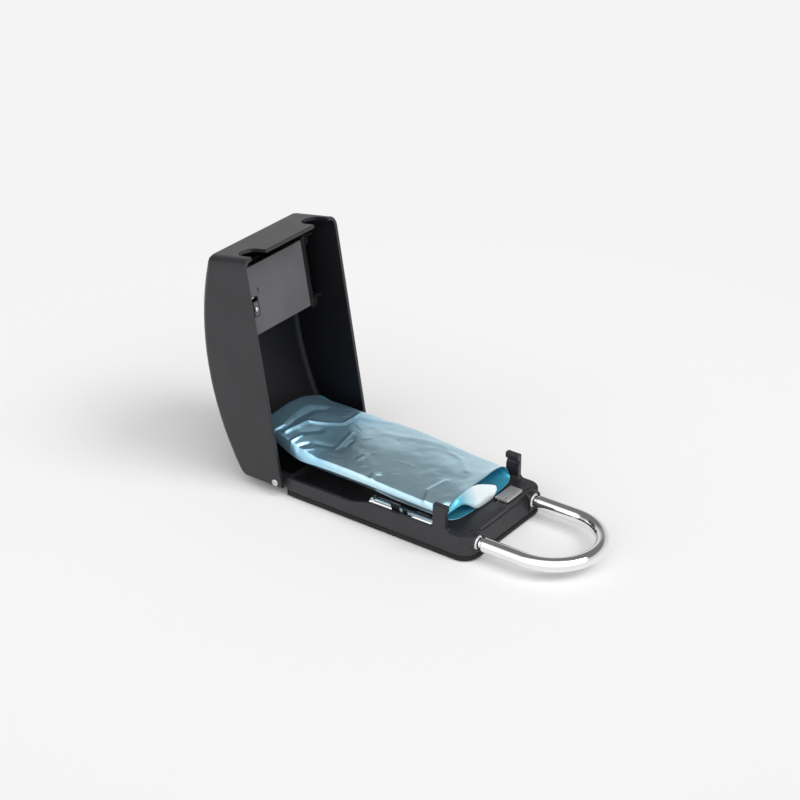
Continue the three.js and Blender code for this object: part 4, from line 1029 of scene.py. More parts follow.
@dataclass(frozen=True)
class Shackle:
    """The bent rod: a turned leg, a spun bend and the second leg, drawn as one skin."""

    radius: float = 4.65
    groove: float = 3.5
    chamfer: float = 0.7
    tip: float = -10.6
    ring: float = 2.3
    slot: float = 1.5
    neck: tuple[float, float] = (70.4, 73.3)
    bend: float = 102.2
    half: float = 30.7
    height: float = 10.7
    sides: int = 40
    steps: int = 40

    def profile(self) -> list[tuple[float, float]]:
        """One leg's radius along X, from its tip to the bend.

        Returns:
            Radius and place in millimetres.
        """
        small, r = self.radius - self.chamfer, self.radius
        start, end = self.neck
        near, far = self.tip + self.ring, self.tip + self.ring + self.slot
        return [
            (small, self.tip), (r, self.tip + self.chamfer), (r, near),
            (self.groove, near + STEP), (self.groove, far - STEP), (r, far),
            (r, start - self.chamfer), (self.groove, start), (self.groove, end),
            (small, end + STEP), (r, end + self.chamfer), (r, self.bend),
        ]

    def build(self) -> bpy.types.Object:
        """Extrudes the near leg, spins the bend and extrudes the far leg.

        Returns:
            The shackle.
        """
        near, far = at(0, -self.half, self.height), at(0, self.half, self.height)
        leg = self.profile()
        bench = Bench.disc("shackle_rod", leg[0][0] * MM, self.sides, Axis.X, near + at(leg[0][1], 0, 0))
        with bench:
            bench.everything()
            bench.drawn(leg, Vector((1, 0, 0)), near)
            bpy.ops.mesh.spin(steps=self.steps, angle=-math.pi, axis=(0, 0, 1),
                              center=at(self.bend, 0, self.height))
            bench.drawn(leg[::-1], Vector((1, 0, 0)), far)
        bench.closed()
        bench.rounded(0.12, 2, 28)
        bench.smooth(25)
        return settle(bench.piece, Body.SHACKLE, CHROME, ["shackle"])


@dataclass(frozen=True)
class Pad:
    """The rubber pad, with cross grooves underneath."""

    reach: float = 56.0
    pitch: float = 14.0
    half: float = 30.0
    groove: float = 1.6
    depth: float = 0.7

    def build(self) -> bpy.types.Object:
        """Copies the pad, cuts its underside into strips, sinks the narrow ones and softens it.

        Returns:
            The pad.
        """
        bench = Bench.copied("base_pad", "rubber_pad")
        rows = [-self.reach + self.pitch * i for i in range(int(2 * self.reach / self.pitch) + 1)]
        cuts = [((x + side * self.groove / 2, 0), (1, 0, 0)) for x in rows for side in (-1, 1)]
        cuts += [((0, side * self.half), (0, 1, 0)) for side in (-1, 1)]
        with bench:
            for (x, y), across in cuts:
                bench.pick(lambda middle, normal: normal.z < -0.99)
                bpy.ops.mesh.bisect(plane_co=at(x, y, 0), plane_no=across)
            bench.pick(lambda middle, normal: normal.z < -0.99 and abs(middle.y) < self.half
                       and any(abs(middle.x - x) < self.groove / 2 for x in rows))
            bench.extrude(Vector((0, 0, self.depth)))
        bench.rounded(0.12, 2, 30)
        bench.smooth()
        return settle(bench.piece, Body.BASE, RUBBER, ["base_pad"])


@dataclass(frozen=True)
class Screw:
    """A countersunk machine screw with a six-lobed socket, drawn with its head at the origin."""

    head: float = 2.5
    height: float = 1.1
    chamfer: float = 0.35
    shank: float = 1.3
    end: float = 8.1
    point: float = 0.6
    socket: float = 1.25
    depth: float = 0.65
    lobe: float = 0.22
    sides: int = 24
    rows: tuple[float, float] = (97.2, 139.2)
    across: float = 30.5
    seat: float = 15.75
    frame_place: Point = (123.7, 19, 21.05)

    def pattern(self, name: str) -> bpy.types.Object:
        """Models the screw once, along +Z from its head.

        Args:
            name: The piece's name.

        Returns:
            The screw.
        """
        flat = self.head - self.chamfer
        bench = Bench.turned(name, [
            (flat, 0), (self.head, self.chamfer), (self.head, self.height),
            (self.shank, self.height + STEP), (self.shank, self.end),
            (self.shank / 2, self.end + self.point)], Axis.Z, Vector(), self.sides)
        with bench:
            bench.pick(lambda middle, normal: normal.z < -0.9 and middle.z < 0.1)
            bench.inset(flat - self.socket)
            self.lobes(bench)
            bench.inset(0.05, -self.depth)
        bench.rounded(0.08, 2, 30)
        bench.smooth()
        return bench.piece

    def lobes(self, bench: Bench) -> None:
        """Draws every fourth corner of the socket inwards, in edit mode.

        Args:
            bench: The bench, with the socket's face selected.
        """
        mesh = bmesh.from_edit_mesh(bench.piece.data)
        for corner in [corner for corner in mesh.verts if corner.select]:
            wave = math.cos(6 * math.atan2(corner.co.y, corner.co.x))
            if wave > 0.4:
                corner.co.xy *= 1 - self.lobe * wave ** 2
        bmesh.update_edit_mesh(bench.piece.data)

    def driven(self, pattern: bpy.types.Object, name: str, first: int,
               places: Sequence[Point]) -> list[bpy.types.Object]:
        """Copies of the screw in places of the cover, numbered from the first."""
        return [twin(pattern, f"{name}_{i}", COVER.matrix() @ Matrix.Translation(at(*place)))
                for i, place in enumerate(places, first)]

    def build(self) -> None:
        """Drives the dial frame's two screws and the plate's four, of which the pattern is one."""
        pattern = self.pattern("plate_bolt_1")
        seat, *others = [(u, side * self.across, self.seat) for u in self.rows for side in (-1, 1)]
        u, y, d = self.frame_place
        for i, piece in enumerate(self.driven(pattern, "frame_bolt", 1, [(u, -y, d), (u, y, d)]), 1):
            settle(piece, Body.COVER, BRIGHT_STEEL, [f"frame_screw_{i}"])
        bolts = self.driven(pattern, "plate_bolt", 2, others)
        pattern.data.transform(COVER.matrix() @ Matrix.Translation(at(*seat)))
        for i, piece in enumerate([pattern, *bolts], 1):
            settle(piece, Body.COVER, BLACK_SCREW, [f"plate_screw_{i}"])


@dataclass(frozen=True)
class ResetScrew:
    """The small bright screw in the reset block, slotted across."""

    u: float = 112.3
    y: float = -23.5
    seat: float = 16.2
    dome: Profile = ((0.7, -0.88), (1.15, -0.72), (1.5, -0.45), (1.7, -0.15), (1.7, 0))
    shank: Profile = ((1.3, STEP), (1.3, 4.4), (1.0, 4.6))
    slot: float = 0.28
    depth: float = 0.42

    def build(self) -> bpy.types.Object:
        """Turns a domed head on a shank and sinks a slot into it.

        Returns:
            The screw.
        """
        bench = Bench.turned("reset_bolt", [*self.dome, *self.shank], Axis.Z, Vector())
        with bench:
            for side in (-self.slot, self.slot):
                bench.cut(at(0, side, 0), (0, 1, 0))
            bench.pick(lambda middle, normal: abs(middle.y) < self.slot and middle.z < -0.4
                       and normal.z < -0.5)
            bench.extrude(Vector((0, 0, self.depth)))
        bench.rounded(0.05, 2, 30)
        bench.smooth()
        bench.placed(COVER.matrix() @ Matrix.Translation(at(self.u, self.y, self.seat)))
        return settle(bench.piece, Body.RESET, BRIGHT_STEEL, ["reset_screw"])


@dataclass(frozen=True)
class HingePins:
    """The two bright pins with domed heads sunk in the cover's sides."""

    u: float = 3.9
    d: float = 5.3
    inner: float = 34.8
    outer: float = 46.0
    radius: float = 1.7
    chamfer: float = 0.3
    under: float = 0.65
    dome: Profile = ((2.4, -0.64), (2.4, -0.15), (2.1, 0.08), (1.5, 0.2), (0.5, 0.25))

    def build(self) -> list[bpy.types.Object]:
        """Turns the far pin and mirrors it to the near side.

        Returns:
            Both pins.
        """
        bench = Bench.turned("hinge_rivet_far", [
            (self.radius - self.chamfer, self.inner), (self.radius, self.inner + self.chamfer),
            (self.radius, self.outer - self.under),
            *((radius, self.outer + along) for radius, along in self.dome)], Axis.Y, Vector(), 36)
        bench.rounded(0.08, 2, 40)
        bench.smooth(35)
        bench.placed(COVER.matrix() @ Matrix.Translation(at(self.u, 0, self.d)))
        near = twin(bench.piece, "hinge_rivet_near", Matrix.Scale(-1, 4, (0, 1, 0)), mirrored=True)
        settle(bench.piece, Body.COVER, BRIGHT_STEEL, ["hinge_pin_far"])
        settle(near, Body.COVER, BRIGHT_STEEL, ["hinge_pin_near"])
        return [bench.piece, near]


@dataclass(frozen=True)
class ClipRivets:
    """The rivets that hold the snap clips to the tray's floor."""

    x: float = 14.85
    y: float = 20.05
    profile: Profile = (
        (1.0, 3.5), (1.2, 3.7), (1.2, 5.8), (2.3, 5.81), (2.3, 6.2), (2.0, 6.6), (1.4, 6.9), (0.6, 7.05))

    def build(self) -> list[bpy.types.Object]:
        """Turns one domed rivet and copies it.

        Returns:
            Both rivets.
        """
        bench = Bench.turned("rivet_far", self.profile, Axis.Z, at(self.x, self.y, 0))
        bench.rounded(0.06, 2, 40)
        bench.smooth(35)
        near = twin(bench.piece, "rivet_near", Matrix.Scale(-1, 4, (0, 1, 0)), mirrored=True)
        for side, piece in (("far", bench.piece), ("near", near)):
            settle(piece, Body.BASE, BRIGHT_STEEL, [f"clip_rivet_{side}"])
        return [bench.piece, near]


@dataclass(frozen=True)
class Coil:
    """A compression spring, wound by the Screw modifier."""

    radius: float = 1.4
    wire: float = 0.25
    turns: int = 6
    steps: int = 20
    release_foot: Point = (56.25, -17.7, 10.7)
    release_length: float = 13.4
    release_keep: float = 0.70
    latch_foot: Point = (98, 12, 19.8)
    latch_length: float = 14.7
    latch_keep: float = 0.714

    def pattern(self, name: str, length: float) -> bpy.types.Object:
        """Winds a spring up +Z from the origin.

        Args:
            name: The piece's name.
            length: In millimetres.

        Returns:
            The spring.
        """
        bench = Bench.disc(name, self.wire * MM, 10, Axis.Y, at(self.radius, 0, self.wire))
        with bench:
            bpy.ops.mesh.delete(type="ONLY_FACE")
        rise = (length - 2 * self.wire) / self.turns
        bench.modifier("SCREW", axis="Z", angle=2 * math.pi, screw_offset=rise * MM,
                       iterations=self.turns, steps=self.steps, render_steps=self.steps,
                       use_merge_vertices=True, merge_threshold=1e-7)
        with bench:
            bpy.ops.mesh.select_mode(type="VERT")
            bpy.ops.mesh.select_all(action="DESELECT")
            bpy.ops.mesh.select_non_manifold()
            bpy.ops.mesh.edge_face_add()
        bench.closed()
        bench.smooth(60)
        return bench.piece

    def build(self) -> list[bpy.types.Object]:
        """Winds the release spring and the two latch springs.

        Returns:
            The springs.
        """
        foot = at(*self.release_foot)
        release = self.pattern("return_coil", self.release_length)
        release.data.transform(Matrix.Translation(foot) @ Matrix.Rotation(-math.pi / 2, 4, "X"))
        settle(release, Body.BASE, SPRING_STEEL, ["release_spring"])
        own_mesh(release)
        along = tuple((COVER.matrix().to_3x3() @ Vector((1, 0, 0))).normalized())
        made = [release]
        u, y, d = self.latch_foot
        for side, sign in SIDES:
            piece = self.pattern(f"latch_coil_{side}", self.latch_length)
            piece.data.transform(COVER.matrix() @ Matrix.Translation(at(u, y * sign, d))
                                 @ Matrix.Rotation(math.pi / 2, 4, "Y"))
            settle(piece, Body.COVER, SPRING_STEEL, [f"latch_spring_{side}"])
            tuple(COVER.point(u, y * sign, d))
            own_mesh(piece)
            made.append(piece)
        return made


@dataclass(frozen=True)
class Dials:
    """Four ribbed thumb wheels with the digits 0 to 9 printed on their flats."""

    u: float = 108.0
    d: float = 35.88
    radius: float = 10.8
    pitch: float = 12.0
    flats: int = 10
    facing: int = 2
    size: float = 4.6
    print_height: float = 0.07
    curve_steps: int = 3

    def digit(self, value: int) -> bpy.types.Object:
        """One printed digit as a thin mesh, with its middle at the origin.

        Args:
            value: 0 to 9.

        Returns:
            The digit.
        """
        deselect()
        bpy.ops.object.text_add()
        text = bpy.context.object
        text.data.body = str(value)
        text.data.size = self.size * MM
        text.data.extrude = self.print_height * MM
        text.data.resolution_u = self.curve_steps
        text.data.align_x, text.data.align_y = "CENTER", "CENTER"
        bpy.ops.object.convert(target="MESH")
        piece = bpy.context.object
        corners = [corner.co.copy() for corner in piece.data.vertices]
        low = Vector([min(c[i] for c in corners) for i in range(3)])
        high = Vector([max(c[i] for c in corners) for i in range(3)])
        piece.data.transform(Matrix.Translation(-(low + high) / 2))
        return piece

    def ring(self, name: str) -> bpy.types.Object:
        """All ten digits round one wheel, in the cover's own axes about the dial's centre.

        Args:
            name: The piece's name.

        Returns:
            The digits joined into one mesh.
        """
        pieces = []
        for index in range(self.flats):
            angle = math.tau * (index + 0.5) / self.flats
            right = Vector((0, -1, 0))
            up = Vector((math.sin(angle), 0, -math.cos(angle)))
            out = Vector((math.cos(angle), 0, math.sin(angle)))
            turn = Matrix((right, up, out)).transposed().to_4x4()
            piece = self.digit((self.facing - index) % self.flats)
            piece.data.transform(Matrix.Translation(out * self.radius * MM) @ turn)
            pieces.append(piece)
        return joined(pieces, name)

    def build(self) -> list[bpy.types.Object]:
        """Copies the wheels' shape, softens it and prints the digits.

        Returns:
            The wheels and their digits.
        """
        pattern = self.ring("dial_digits_1")
        made = []
        for i, body in enumerate(DIALS):
            bench = Bench.copied(f"dial_wheel_{i + 1}", f"thumb_wheel_{i + 1}")
            bench.rounded(0.3, 3, 20)
            bench.smooth(30)
            settle(bench.piece, body, BLACK_PLASTIC, [f"dial_wheel_{i + 1}"])
            move = COVER.matrix() @ Matrix.Translation(at(self.u, (i - 1.5) * self.pitch, self.d))
            digits = twin(pattern, f"wheel_digits_{i + 1}", move)
            settle(digits, body, WHITE_PAINT)
            made += [bench.piece, digits]
        bpy.data.objects.remove(pattern)
        return made


@dataclass(frozen=True)
class Button:
    """The oval push button, with fine grip ribs across its dished top."""

    u: float = 131.0
    ribs: int = 7
    spacing: float = 2.0
    rib_half: tuple[float, float] = (2.6, 0.3)
    rib_depths: tuple[float, float] = (1.2, 0.58)

    def build(self) -> bpy.types.Object:
        """Copies the button, softens it and raises the ribs.

        Returns:
            The button.
        """
        bench = Bench.copied("release_button", "push_button")
        bench.rounded(0.5, 3)
        bench.smooth()
        rib, parts = self.rib(), [bench.piece]
        for i in range(self.ribs):
            move = Matrix.Translation(at(0, (i - self.ribs // 2) * self.spacing, 0))
            parts.append(twin(rib, f"button_rib_{i}", move))
        bpy.data.objects.remove(rib)
        whole = joined(parts, "push_button")
        return settle(whole, Body.BUTTON, BLACK_PLASTIC, ["release_button"])

    def rib(self) -> bpy.types.Object:
        """One low rib that lies across the dish, bowed along u.

        Returns:
            The rib, at the middle of the button.
        """
        top = max((COVER.matrix().inverted() @ corner.co).z
                  for corner in frame["nodes"]["release_button"].data.vertices) / MM
        long, wide = self.rib_half
        low, high = (top - depth for depth in self.rib_depths)
        bench = Bench.cuboid("button_rib", at(self.u - long, -wide, low), at(self.u + long, wide, high))
        bench.rounded(0.2, 2)
        bench.smooth()
        bench.placed(COVER.matrix())
        return bench.piece


@dataclass(frozen=True)
class PlateMark:
    """The small arrow stamped into the mechanism plate above the reset slot."""

    u: float = 123.6
    y: float = -19.6
    d: float = 16.19
    thickness: float = 0.06
    outline: Profile = (
        (-2.2, -0.22), (0.4, -0.22), (0.4, -0.95), (2.1, 0), (0.4, 0.95), (0.4, 0.22), (-2.2, 0.22))

    def build(self) -> bpy.types.Object:
        """Draws a flat arrow and gives it a hair's thickness.

        Returns:
            The mark.
        """
        mesh = bpy.data.meshes.new("stamped_arrow")
        mesh.from_pydata([at(x, y, 0) for x, y in self.outline], [], [tuple(range(len(self.outline)))])
        piece = linked("stamped_arrow", mesh)
        bench = Bench(piece)
        with bench:
            bench.everything()
            bench.extrude(Vector((0, 0, -self.thickness)))
        bench.closed()
        bench.placed(COVER.matrix() @ Matrix.Translation(at(self.u, self.y, self.d)))
        return settle(piece, Body.COVER, BLACK_SCREW)


def paint_nodes() -> None:
    """Gives the CAD nodes that stay their finishes."""
    finishes = {
        "black_coat": BLACK_COAT, "black_rubber": RUBBER, "plate_grey": PLATE_COAT, "chrome": CHROME,
        "bright_steel": BRIGHT_STEEL, "dark_steel": DARK_STEEL, "brass": BRASS,
        "black_plastic": BLACK_PLASTIC, "foil": FILM_OUTSIDE,
    }
    for node in frame["nodes"].values():
        slots = node.material_slots
        slot = slots[0].material.name.split(".")[0] if slots else "dark_steel"
        finishes.get(slot, DARK_STEEL).paint(node)


# Foil pouch


@dataclass
class Pouch:
    """The thin film pouch: a flattened sleeve that lies in the tray and leans up into the cover.

    The rows give the cage's heights at the knots along X, the rim and the lip are corners of the
    cage, and a ridge is its two ends, its height and its half width.
    """

    knots: Row = (-98, -90, -82, -74, -64, -52, -38, -18, 0, 18, 32, 42)
    near_rise: Row = (35.5, 36.3, 37.2, 35.4, 32.3, 29.8, 30.4, 30.1, 28.8, 28.1, 27.9, 28.4)
    middle: Row = (41.5, 40.8, 39.4, 37.4, 35.2, 33.8, 33.6, 33, 32, 31.4, 31, 31)
    far_rise: Row = (29.5, 29.3, 29.3, 29.4, 29.4, 29.5, 29.6, 29.8, 28.6, 27, 26, 25.5)
    near_low: Row = (34, 33.4, 31, 26.6, 23.6, 24.6, 24.9, 24.9, 24.6, 24.2, 24, 23.5)
    bottom: Row = (33, 29.5, 26, 22.5, 19.5, 18, 17.6, 17.6, 17.6, 17.6, 17.6, 17.6)
    stations: Row = (
        -98, -94.5, -91, -87, -83, -79, -75, -71, -67, -63, -59, -55, -51, -46, -40, -33, -25, -17, -8,
        1, 10, 19, 27, 35, 42)
    across: Row = (-29, -24, -19, -14, -9, -4, 1, 6, 12, 18, 24, 28.5)
    side: float = 34.9
    half: float = 33.0
    crown: float = 0.7
    lean: tuple[float, float, float] = (-60, 40, -2.0)
    tuck: tuple[float, float] = (-20, 30)
    seal_x: float = -101.5
    seal_ends: tuple[float, float] = (33.5, 28.0)
    seal_arch: float = 6.0
    seal_gap: float = 0.4
    rim_near: Sequence[Point] = (
        (50.9, -24, 17.5), (48.5, -28.6, 17.6), (46.8, -31, 18.6), (46.3, -31.6, 21), (46.2, -31.2, 24),
        (46.4, -30.2, 26.4))
    rim_top: Sequence[Point] = (
        (46.8, -27.8, 28.6), (47.5, -23.6, 30.2), (48, -18.6, 31), (48, -13.4, 31.6), (48, -8, 31.5),
        (48, -2.6, 31.2), (48, 3, 31.1), (48, 8.4, 31.1), (48, 14, 31.5), (48, 19.4, 31.5),
        (47.8, 25, 30.2), (47.6, 29.4, 28.2))
    rim_far: Sequence[Point] = (
        (47.5, 32.6, 25.4), (47.8, 34.8, 20.4), (49.4, 34, 17.9), (51.2, 29, 17.5), (52.2, 19.5, 17.4),
        (52.6, 9, 17.4), (52.6, -6, 17.4), (52.2, -16, 17.4))
    rim_back: float = 2.2
    lip_top: Sequence[Point] = (
        (46.2, -30.8, 24.2), (47.2, -26.4, 28.9), (47.8, -21.8, 30.1), (47.9, -16.4, 31.0),
        (48.0, -10.5, 31.3), (48.3, -4.2, 31.1), (50.2, 1.6, 29.4), (52.2, 6.4, 27.6), (54.0, 10.4, 25.8))
    lip_low: Sequence[Point] = (
        (47.0, -31.4, 22.3), (49.8, -26.4, 25.0), (50.6, -21.4, 25.9), (51.6, -15.6, 23.9),
        (53.7, -10.6, 17.9), (54.0, -3.2, 17.9), (54.2, 3.2, 17.9), (54.3, 8.6, 18.2), (54.4, 10.6, 21.4))
    lip_rows: Profile = ((0, 0), (0.12, 0.3), (0.5, 0.9), (0.86, 0.5), (1, 0))
    folds: Sequence[tuple[int, float]] = ((3, 0.75), (5, 0.85), (18, 0.6), (19, 0.4))
    ridges: Sequence[Row] = (
        (-79.5, -29, -77.5, -20, 0.9, 2.6), (-77.5, -20, -76, -11, 1.0, 2.8),
        (-76, -11, -66.5, -2.5, 1.0, 2.8), (-66.5, -2.5, -60, 5, 0.9, 2.6), (-60, 5, -60.5, 17, 0.7, 2.6),
        (-60.5, 17, -63, 27, 0.5, 2.4), (-87, -32, -83.5, -24.4, 0.9, 2.2),
        (-72, -33, -70.4, -25.6, 0.8, 1.9), (-66, -33, -63, -27, -0.8, 2.2),
        (-62, -33, -58, -29, 0.5, 1.8), (-82, -24, -82.6, -12, -1.3, 4.2),
        (-82.6, -12, -82.8, 4, -1.5, 5.0), (-82.8, 4, -79, 12, -1.2, 4.6),
        (-72, -22, -66, -12, -0.7, 4.0), (-60, -24, -50, -20, -0.6, 3.0), (-46, -20, -47, -11, 0.6, 2.2),
        (-47, -11, -49, -1, 0.5, 2.4), (-42, -15, -43, -8, -0.5, 2.0), (-27, -23, -25.5, -15.6, 0.6, 1.9),
        (-24, -21, -23, -14, -0.4, 1.7), (-9, -33, -10.5, -29, 0.7, 1.7),
        (-10.5, -29, -6, -26.5, 0.6, 1.7), (32, -34, 28.7, -24, 0.8, 2.2),
        (28.7, -24, 31.5, -11, 0.7, 2.6), (13.9, 21.6, 22.9, 18.7, 0.4, 3.6),
        (22.9, 18.7, 34.1, 6.8, 0.4, 3.6), (-30, 14, 2, 27, 0.3, 6.0), (-58, 20, -40, 30, 0.35, 5.0),
    )
    strewn: int = 70
    seed: int = 11
    strewn_turn: tuple[float, float] = (-0.4, 1.5)
    strewn_length: tuple[float, float] = (4, 13)
    strewn_height: tuple[float, float] = (-0.2, 0.26)
    strewn_width: tuple[float, float] = (1.0, 2.2)
    fold_power: float = 1.25
    swell: tuple[float, float] = (0.035, 0.34)
    fine: tuple[float, float] = (0.11, 0.26)
    sole: float = 18.6
    bed: float = 17.35
    film: float = 0.22
    levels: int = 3
    flat_front: tuple[float, float] = (0.156, 0.103)
    flat_rear: tuple[float, float] = (0.156, 0.050)
    joint: float = -53.0
    bend_end: float = -94.0
    bend_height: float = 20.0
    pressed: float = 0.06
    pressed_to: float = 17.4

    def ring(self, x: float) -> list[Vector]:
        """The sleeve's cage at one station, from the bottom's near side up and over to the far side.

        Args:
            x: The station.

        Returns:
            Cage points in millimetres.
        """
        near, mid, far, low, base = (
            float(np.interp(x, self.knots, row))
            for row in (self.near_rise, self.middle, self.far_rise, self.near_low, self.bottom))
        start, run, shift = self.lean
        back = shift * max(0.0, (start - x) / run)
        tuck = min(max((x - self.tuck[0]) / self.tuck[1], 0.0), 1.0)
        top = []
        for y in self.across:
            share = (y + self.half) / (2 * self.half)
            line = near * (1 - share) + far * share
            crown = (mid - (near + far) / 2) * math.sin(math.pi * share) ** self.crown
            top.append((x + back * share, y, line + crown))
        near_side = [
            (x, -22, base), (x, -28 - 3 * tuck, base + 0.6), (x, -32 - 2.2 * tuck, (base + low) / 2),
            (x, -self.side, low), (x, -self.side, (low + near) / 2), (x, -33.6, near),
        ]
        far_side = [
            (x + back, 32.6, far), (x + back, self.side, far - 2.4),
            (x + back, 33.6, (far + base) / 2 - 1), (x + back, 28, base + 0.3),
            (x + back * 0.8, 18, base), (x + back * 0.6, 8, base), (x, -6, base), (x, -14, base),
        ]
        return [Vector(place) for place in (*near_side, *top, *far_side)]

    def seal(self) -> list[Vector]:
        """The rear seal, where both films meet in one line.

        Returns:
            Cage points in millimetres, two films almost together.
        """
        sealed = []
        near, far = self.seal_ends
        for place in self.ring(self.stations[0]):
            share = (place.y + 35) / 70
            line = near * (1 - share) + far * share + self.seal_arch * math.sin(math.pi * share)
            apart = self.seal_gap if place.z > line - 2 else -self.seal_gap
            sealed.append(Vector((self.seal_x - 1.5 * share, place.y * 0.985, line + apart)))
        return sealed

    def mouth(self) -> list[Vector]:
        """The rim of the open mouth, in the order of the rings."""
        return [Vector(point) for point in (*self.rim_near, *self.rim_top, *self.rim_far)]

    def hinge(self) -> list[Vector]:
        """The last ring behind the rim.

        Returns:
            Cage points in millimetres.
        """
        ring = self.ring(self.stations[-1])
        for place, rim in zip(ring, self.mouth()):
            place.x = rim.x - self.rim_back
            place.y = place.y * 0.25 + rim.y * 0.75
            place.z = place.z * 0.3 + rim.z * 0.7
        return ring

    def lip(self) -> bpy.types.Object:
        """The lip of film that is folded down from the rim and lies over the mouth's near half.

        Returns:
            The lip as a subdivided sheet.
        """
        rows = []
        for share, bulge in self.lip_rows:
            rows.append([Vector(a).lerp(Vector(b), share) + Vector((bulge, -0.2 * bulge, 0.5 * bulge))
                         for a, b in zip(self.lip_top, self.lip_low)])
        count = len(self.lip_top)
        faces = [(r * count + i, (r + 1) * count + i, (r + 1) * count + i + 1, r * count + i + 1)
                 for r in range(len(rows) - 1) for i in range(count - 1)]
        mesh = bpy.data.meshes.new("pouch_lip")
        mesh.from_pydata([place * MM for row in rows for place in row], [], faces)
        piece = linked("pouch_lip", mesh)
        self.sharpen_rim(mesh)
        for face in mesh.polygons:
            face.material_index = 2
        bench = Bench(piece)
        bench.modifier("SUBSURF", levels=self.levels, render_levels=self.levels)
        return piece

    def sharpen_rim(self, mesh: bpy.types.Mesh) -> None:
        """Creases a sheet's open edges.

        Args:
            mesh: The sheet's cage.
        """
        used = {edge: 0 for edge in mesh.edge_keys}
        for face in mesh.polygons:
            for edge in face.edge_keys:
                used[edge] += 1
        crease = mesh.attributes.new("crease_edge", "FLOAT", "EDGE")
        for edge, held in zip(mesh.edges, crease.data):
            held.value = float(used[tuple(sorted(edge.vertices))] == 1)

    def cage(self) -> bpy.types.Object:
        """Joins the rings with faces into an open sleeve.

        Returns:
            The coarse sleeve.
        """
        rings = [self.seal(), *(self.ring(x) for x in self.stations), self.hinge(), self.mouth()]
        count = len(rings[0])
        corners = [place * MM for ring in rings for place in ring]
        faces = []
        for start in range(0, count * (len(rings) - 1), count):
            for i in range(count):
                other = (i + 1) % count
                faces.append((start + i, start + other, start + count + other, start + count + i))
        mesh = bpy.data.meshes.new("pouch_film")
        mesh.from_pydata(corners, [], faces)
        self.sharpen(mesh, count)
        return linked("pouch_film", mesh)

    def sharpen(self, mesh: bpy.types.Mesh, count: int) -> None:
        """Creases the long folds and the rim, so that subdividing keeps them crisp.

        Args:
            mesh: The cage.
            count: Corners in a ring.
        """
        strength = dict(self.folds)
        last = len(mesh.vertices) // count - 1
        crease = mesh.attributes.new("crease_edge", "FLOAT", "EDGE")
        for edge, held in zip(mesh.edges, crease.data):
            (row, column), (other_row, other) = (divmod(corner, count) for corner in edge.vertices)
            if row == other_row == last:
                held.value = 1.0
            elif column == other and column in strength:
                held.value = strength[column]

    def creases(self) -> list[Row]:
        """Straight creases on the upper film.

        Returns:
            The measured ridges, then small ones strewn over the rear and the near edge.
        """
        draw = random.Random(self.seed)
        strewn = []
        for _ in range(self.strewn):
            rear = draw.random() < 0.5
            x = draw.uniform(-96, -52) if rear else draw.uniform(-52, 40)
            y = draw.uniform(-33, 30) if rear else -33 + abs(draw.gauss(0, 13))
            turn, length = draw.uniform(*self.strewn_turn), draw.uniform(*self.strewn_length)
            strewn.append((x, y, x + length * math.cos(turn), y + length * math.sin(turn),
                           draw.uniform(*self.strewn_height), draw.uniform(*self.strewn_width)))
        return [*self.ridges, *strewn]

    def crumple(self, piece: bpy.types.Object) -> None:
        """Raises the creases and a slow swell on the film, along its normals.

        Args:
            piece: The dense sleeve.
        """
        mesh = piece.data
        count = len(mesh.vertices)
        places, normals = np.zeros(count * 3), np.zeros(count * 3)
        mesh.vertices.foreach_get("co", places)
        mesh.vertex_normals.foreach_get("vector", normals)
        places, normals = places.reshape(-1, 3) / MM, normals.reshape(-1, 3)
        lift = np.zeros(count)
        flat = places[:, :2]
        for x, y, end_x, end_y, height, width in self.creases():
            start, along = np.array((x, y)), np.array((end_x - x, end_y - y))
            share = np.clip(((flat - start) @ along) / (along @ along), 0, 1)
            distance = np.linalg.norm(flat - (start + share[:, None] * along), axis=1)
            fold = height * np.clip(1 - distance / width, 0, None) ** self.fold_power
            lift = np.where(np.abs(fold) > np.abs(lift), fold, lift)
        (slow, swell), (quick, fine) = self.swell, self.fine
        waves = swell * np.array([noise.fractal(Vector(p) * slow, 0.9, 2.0, 3) for p in places])
        grain = fine * (np.array([noise.turbulence(Vector(p) * quick, 3, False) for p in places]) - 0.5)
        upper = np.clip(normals[:, 2] * 1.6, 0, 1)
        edge = np.clip((50 - places[:, 0]) / 9, 0.15, 1)
        side = np.clip(-normals[:, 1] * 1.4, 0, 1) * 0.4
        move = (lift * upper + waves * (0.25 + upper) + grain * (upper * 0.5 + side)) * edge
        low = places[:, 2] < self.sole
        move[low] = np.minimum(move[low], 0.15) * 0.2
        places += normals * move[:, None]
        places[:, 2] = np.maximum(places[:, 2], self.bed)
        mesh.vertices.foreach_set("co", (places * MM).ravel())
        mesh.update()

    def parted(self, bench: Bench) -> Bench:
        """Parts the film where it starts to lean into the cover.

        Args:
            bench: The whole sleeve, which keeps its front.

        Returns:
            The rear part.
        """
        rear = Bench(twin(bench.piece, "pouch_rear", Matrix()))
        for part, sign in ((bench, 1), (rear, -1)):
            with part:
                part.pick(lambda middle, normal: (middle.x - self.joint) * sign < 0)
                bpy.ops.mesh.delete(type="FACE")
        return rear

    def thick(self, bench: Bench, shading: dict[tuple[int, ...], Vector]) -> None:
        """Gives one part its thickness, and the whole sleeve's shading, so that the joint doesn't show.

        Args:
            bench: The part.
            shading: The whole sleeve's normals by place.
        """
        bench.modifier("SOLIDIFY", thickness=self.film * MM, offset=-1, use_rim=True, material_offset=1)
        mesh = bench.piece.data
        mesh.polygons.foreach_set("use_smooth", [True] * len(mesh.polygons))
        mesh.normals_split_custom_set_from_vertices(
            [shading.get(self.key(corner.co), corner.normal) for corner in mesh.vertices])

    @staticmethod
    def key(place: Vector) -> tuple[int, ...]:
        """A place in whole microns."""
        return tuple(round(value * 1e6) for value in place)

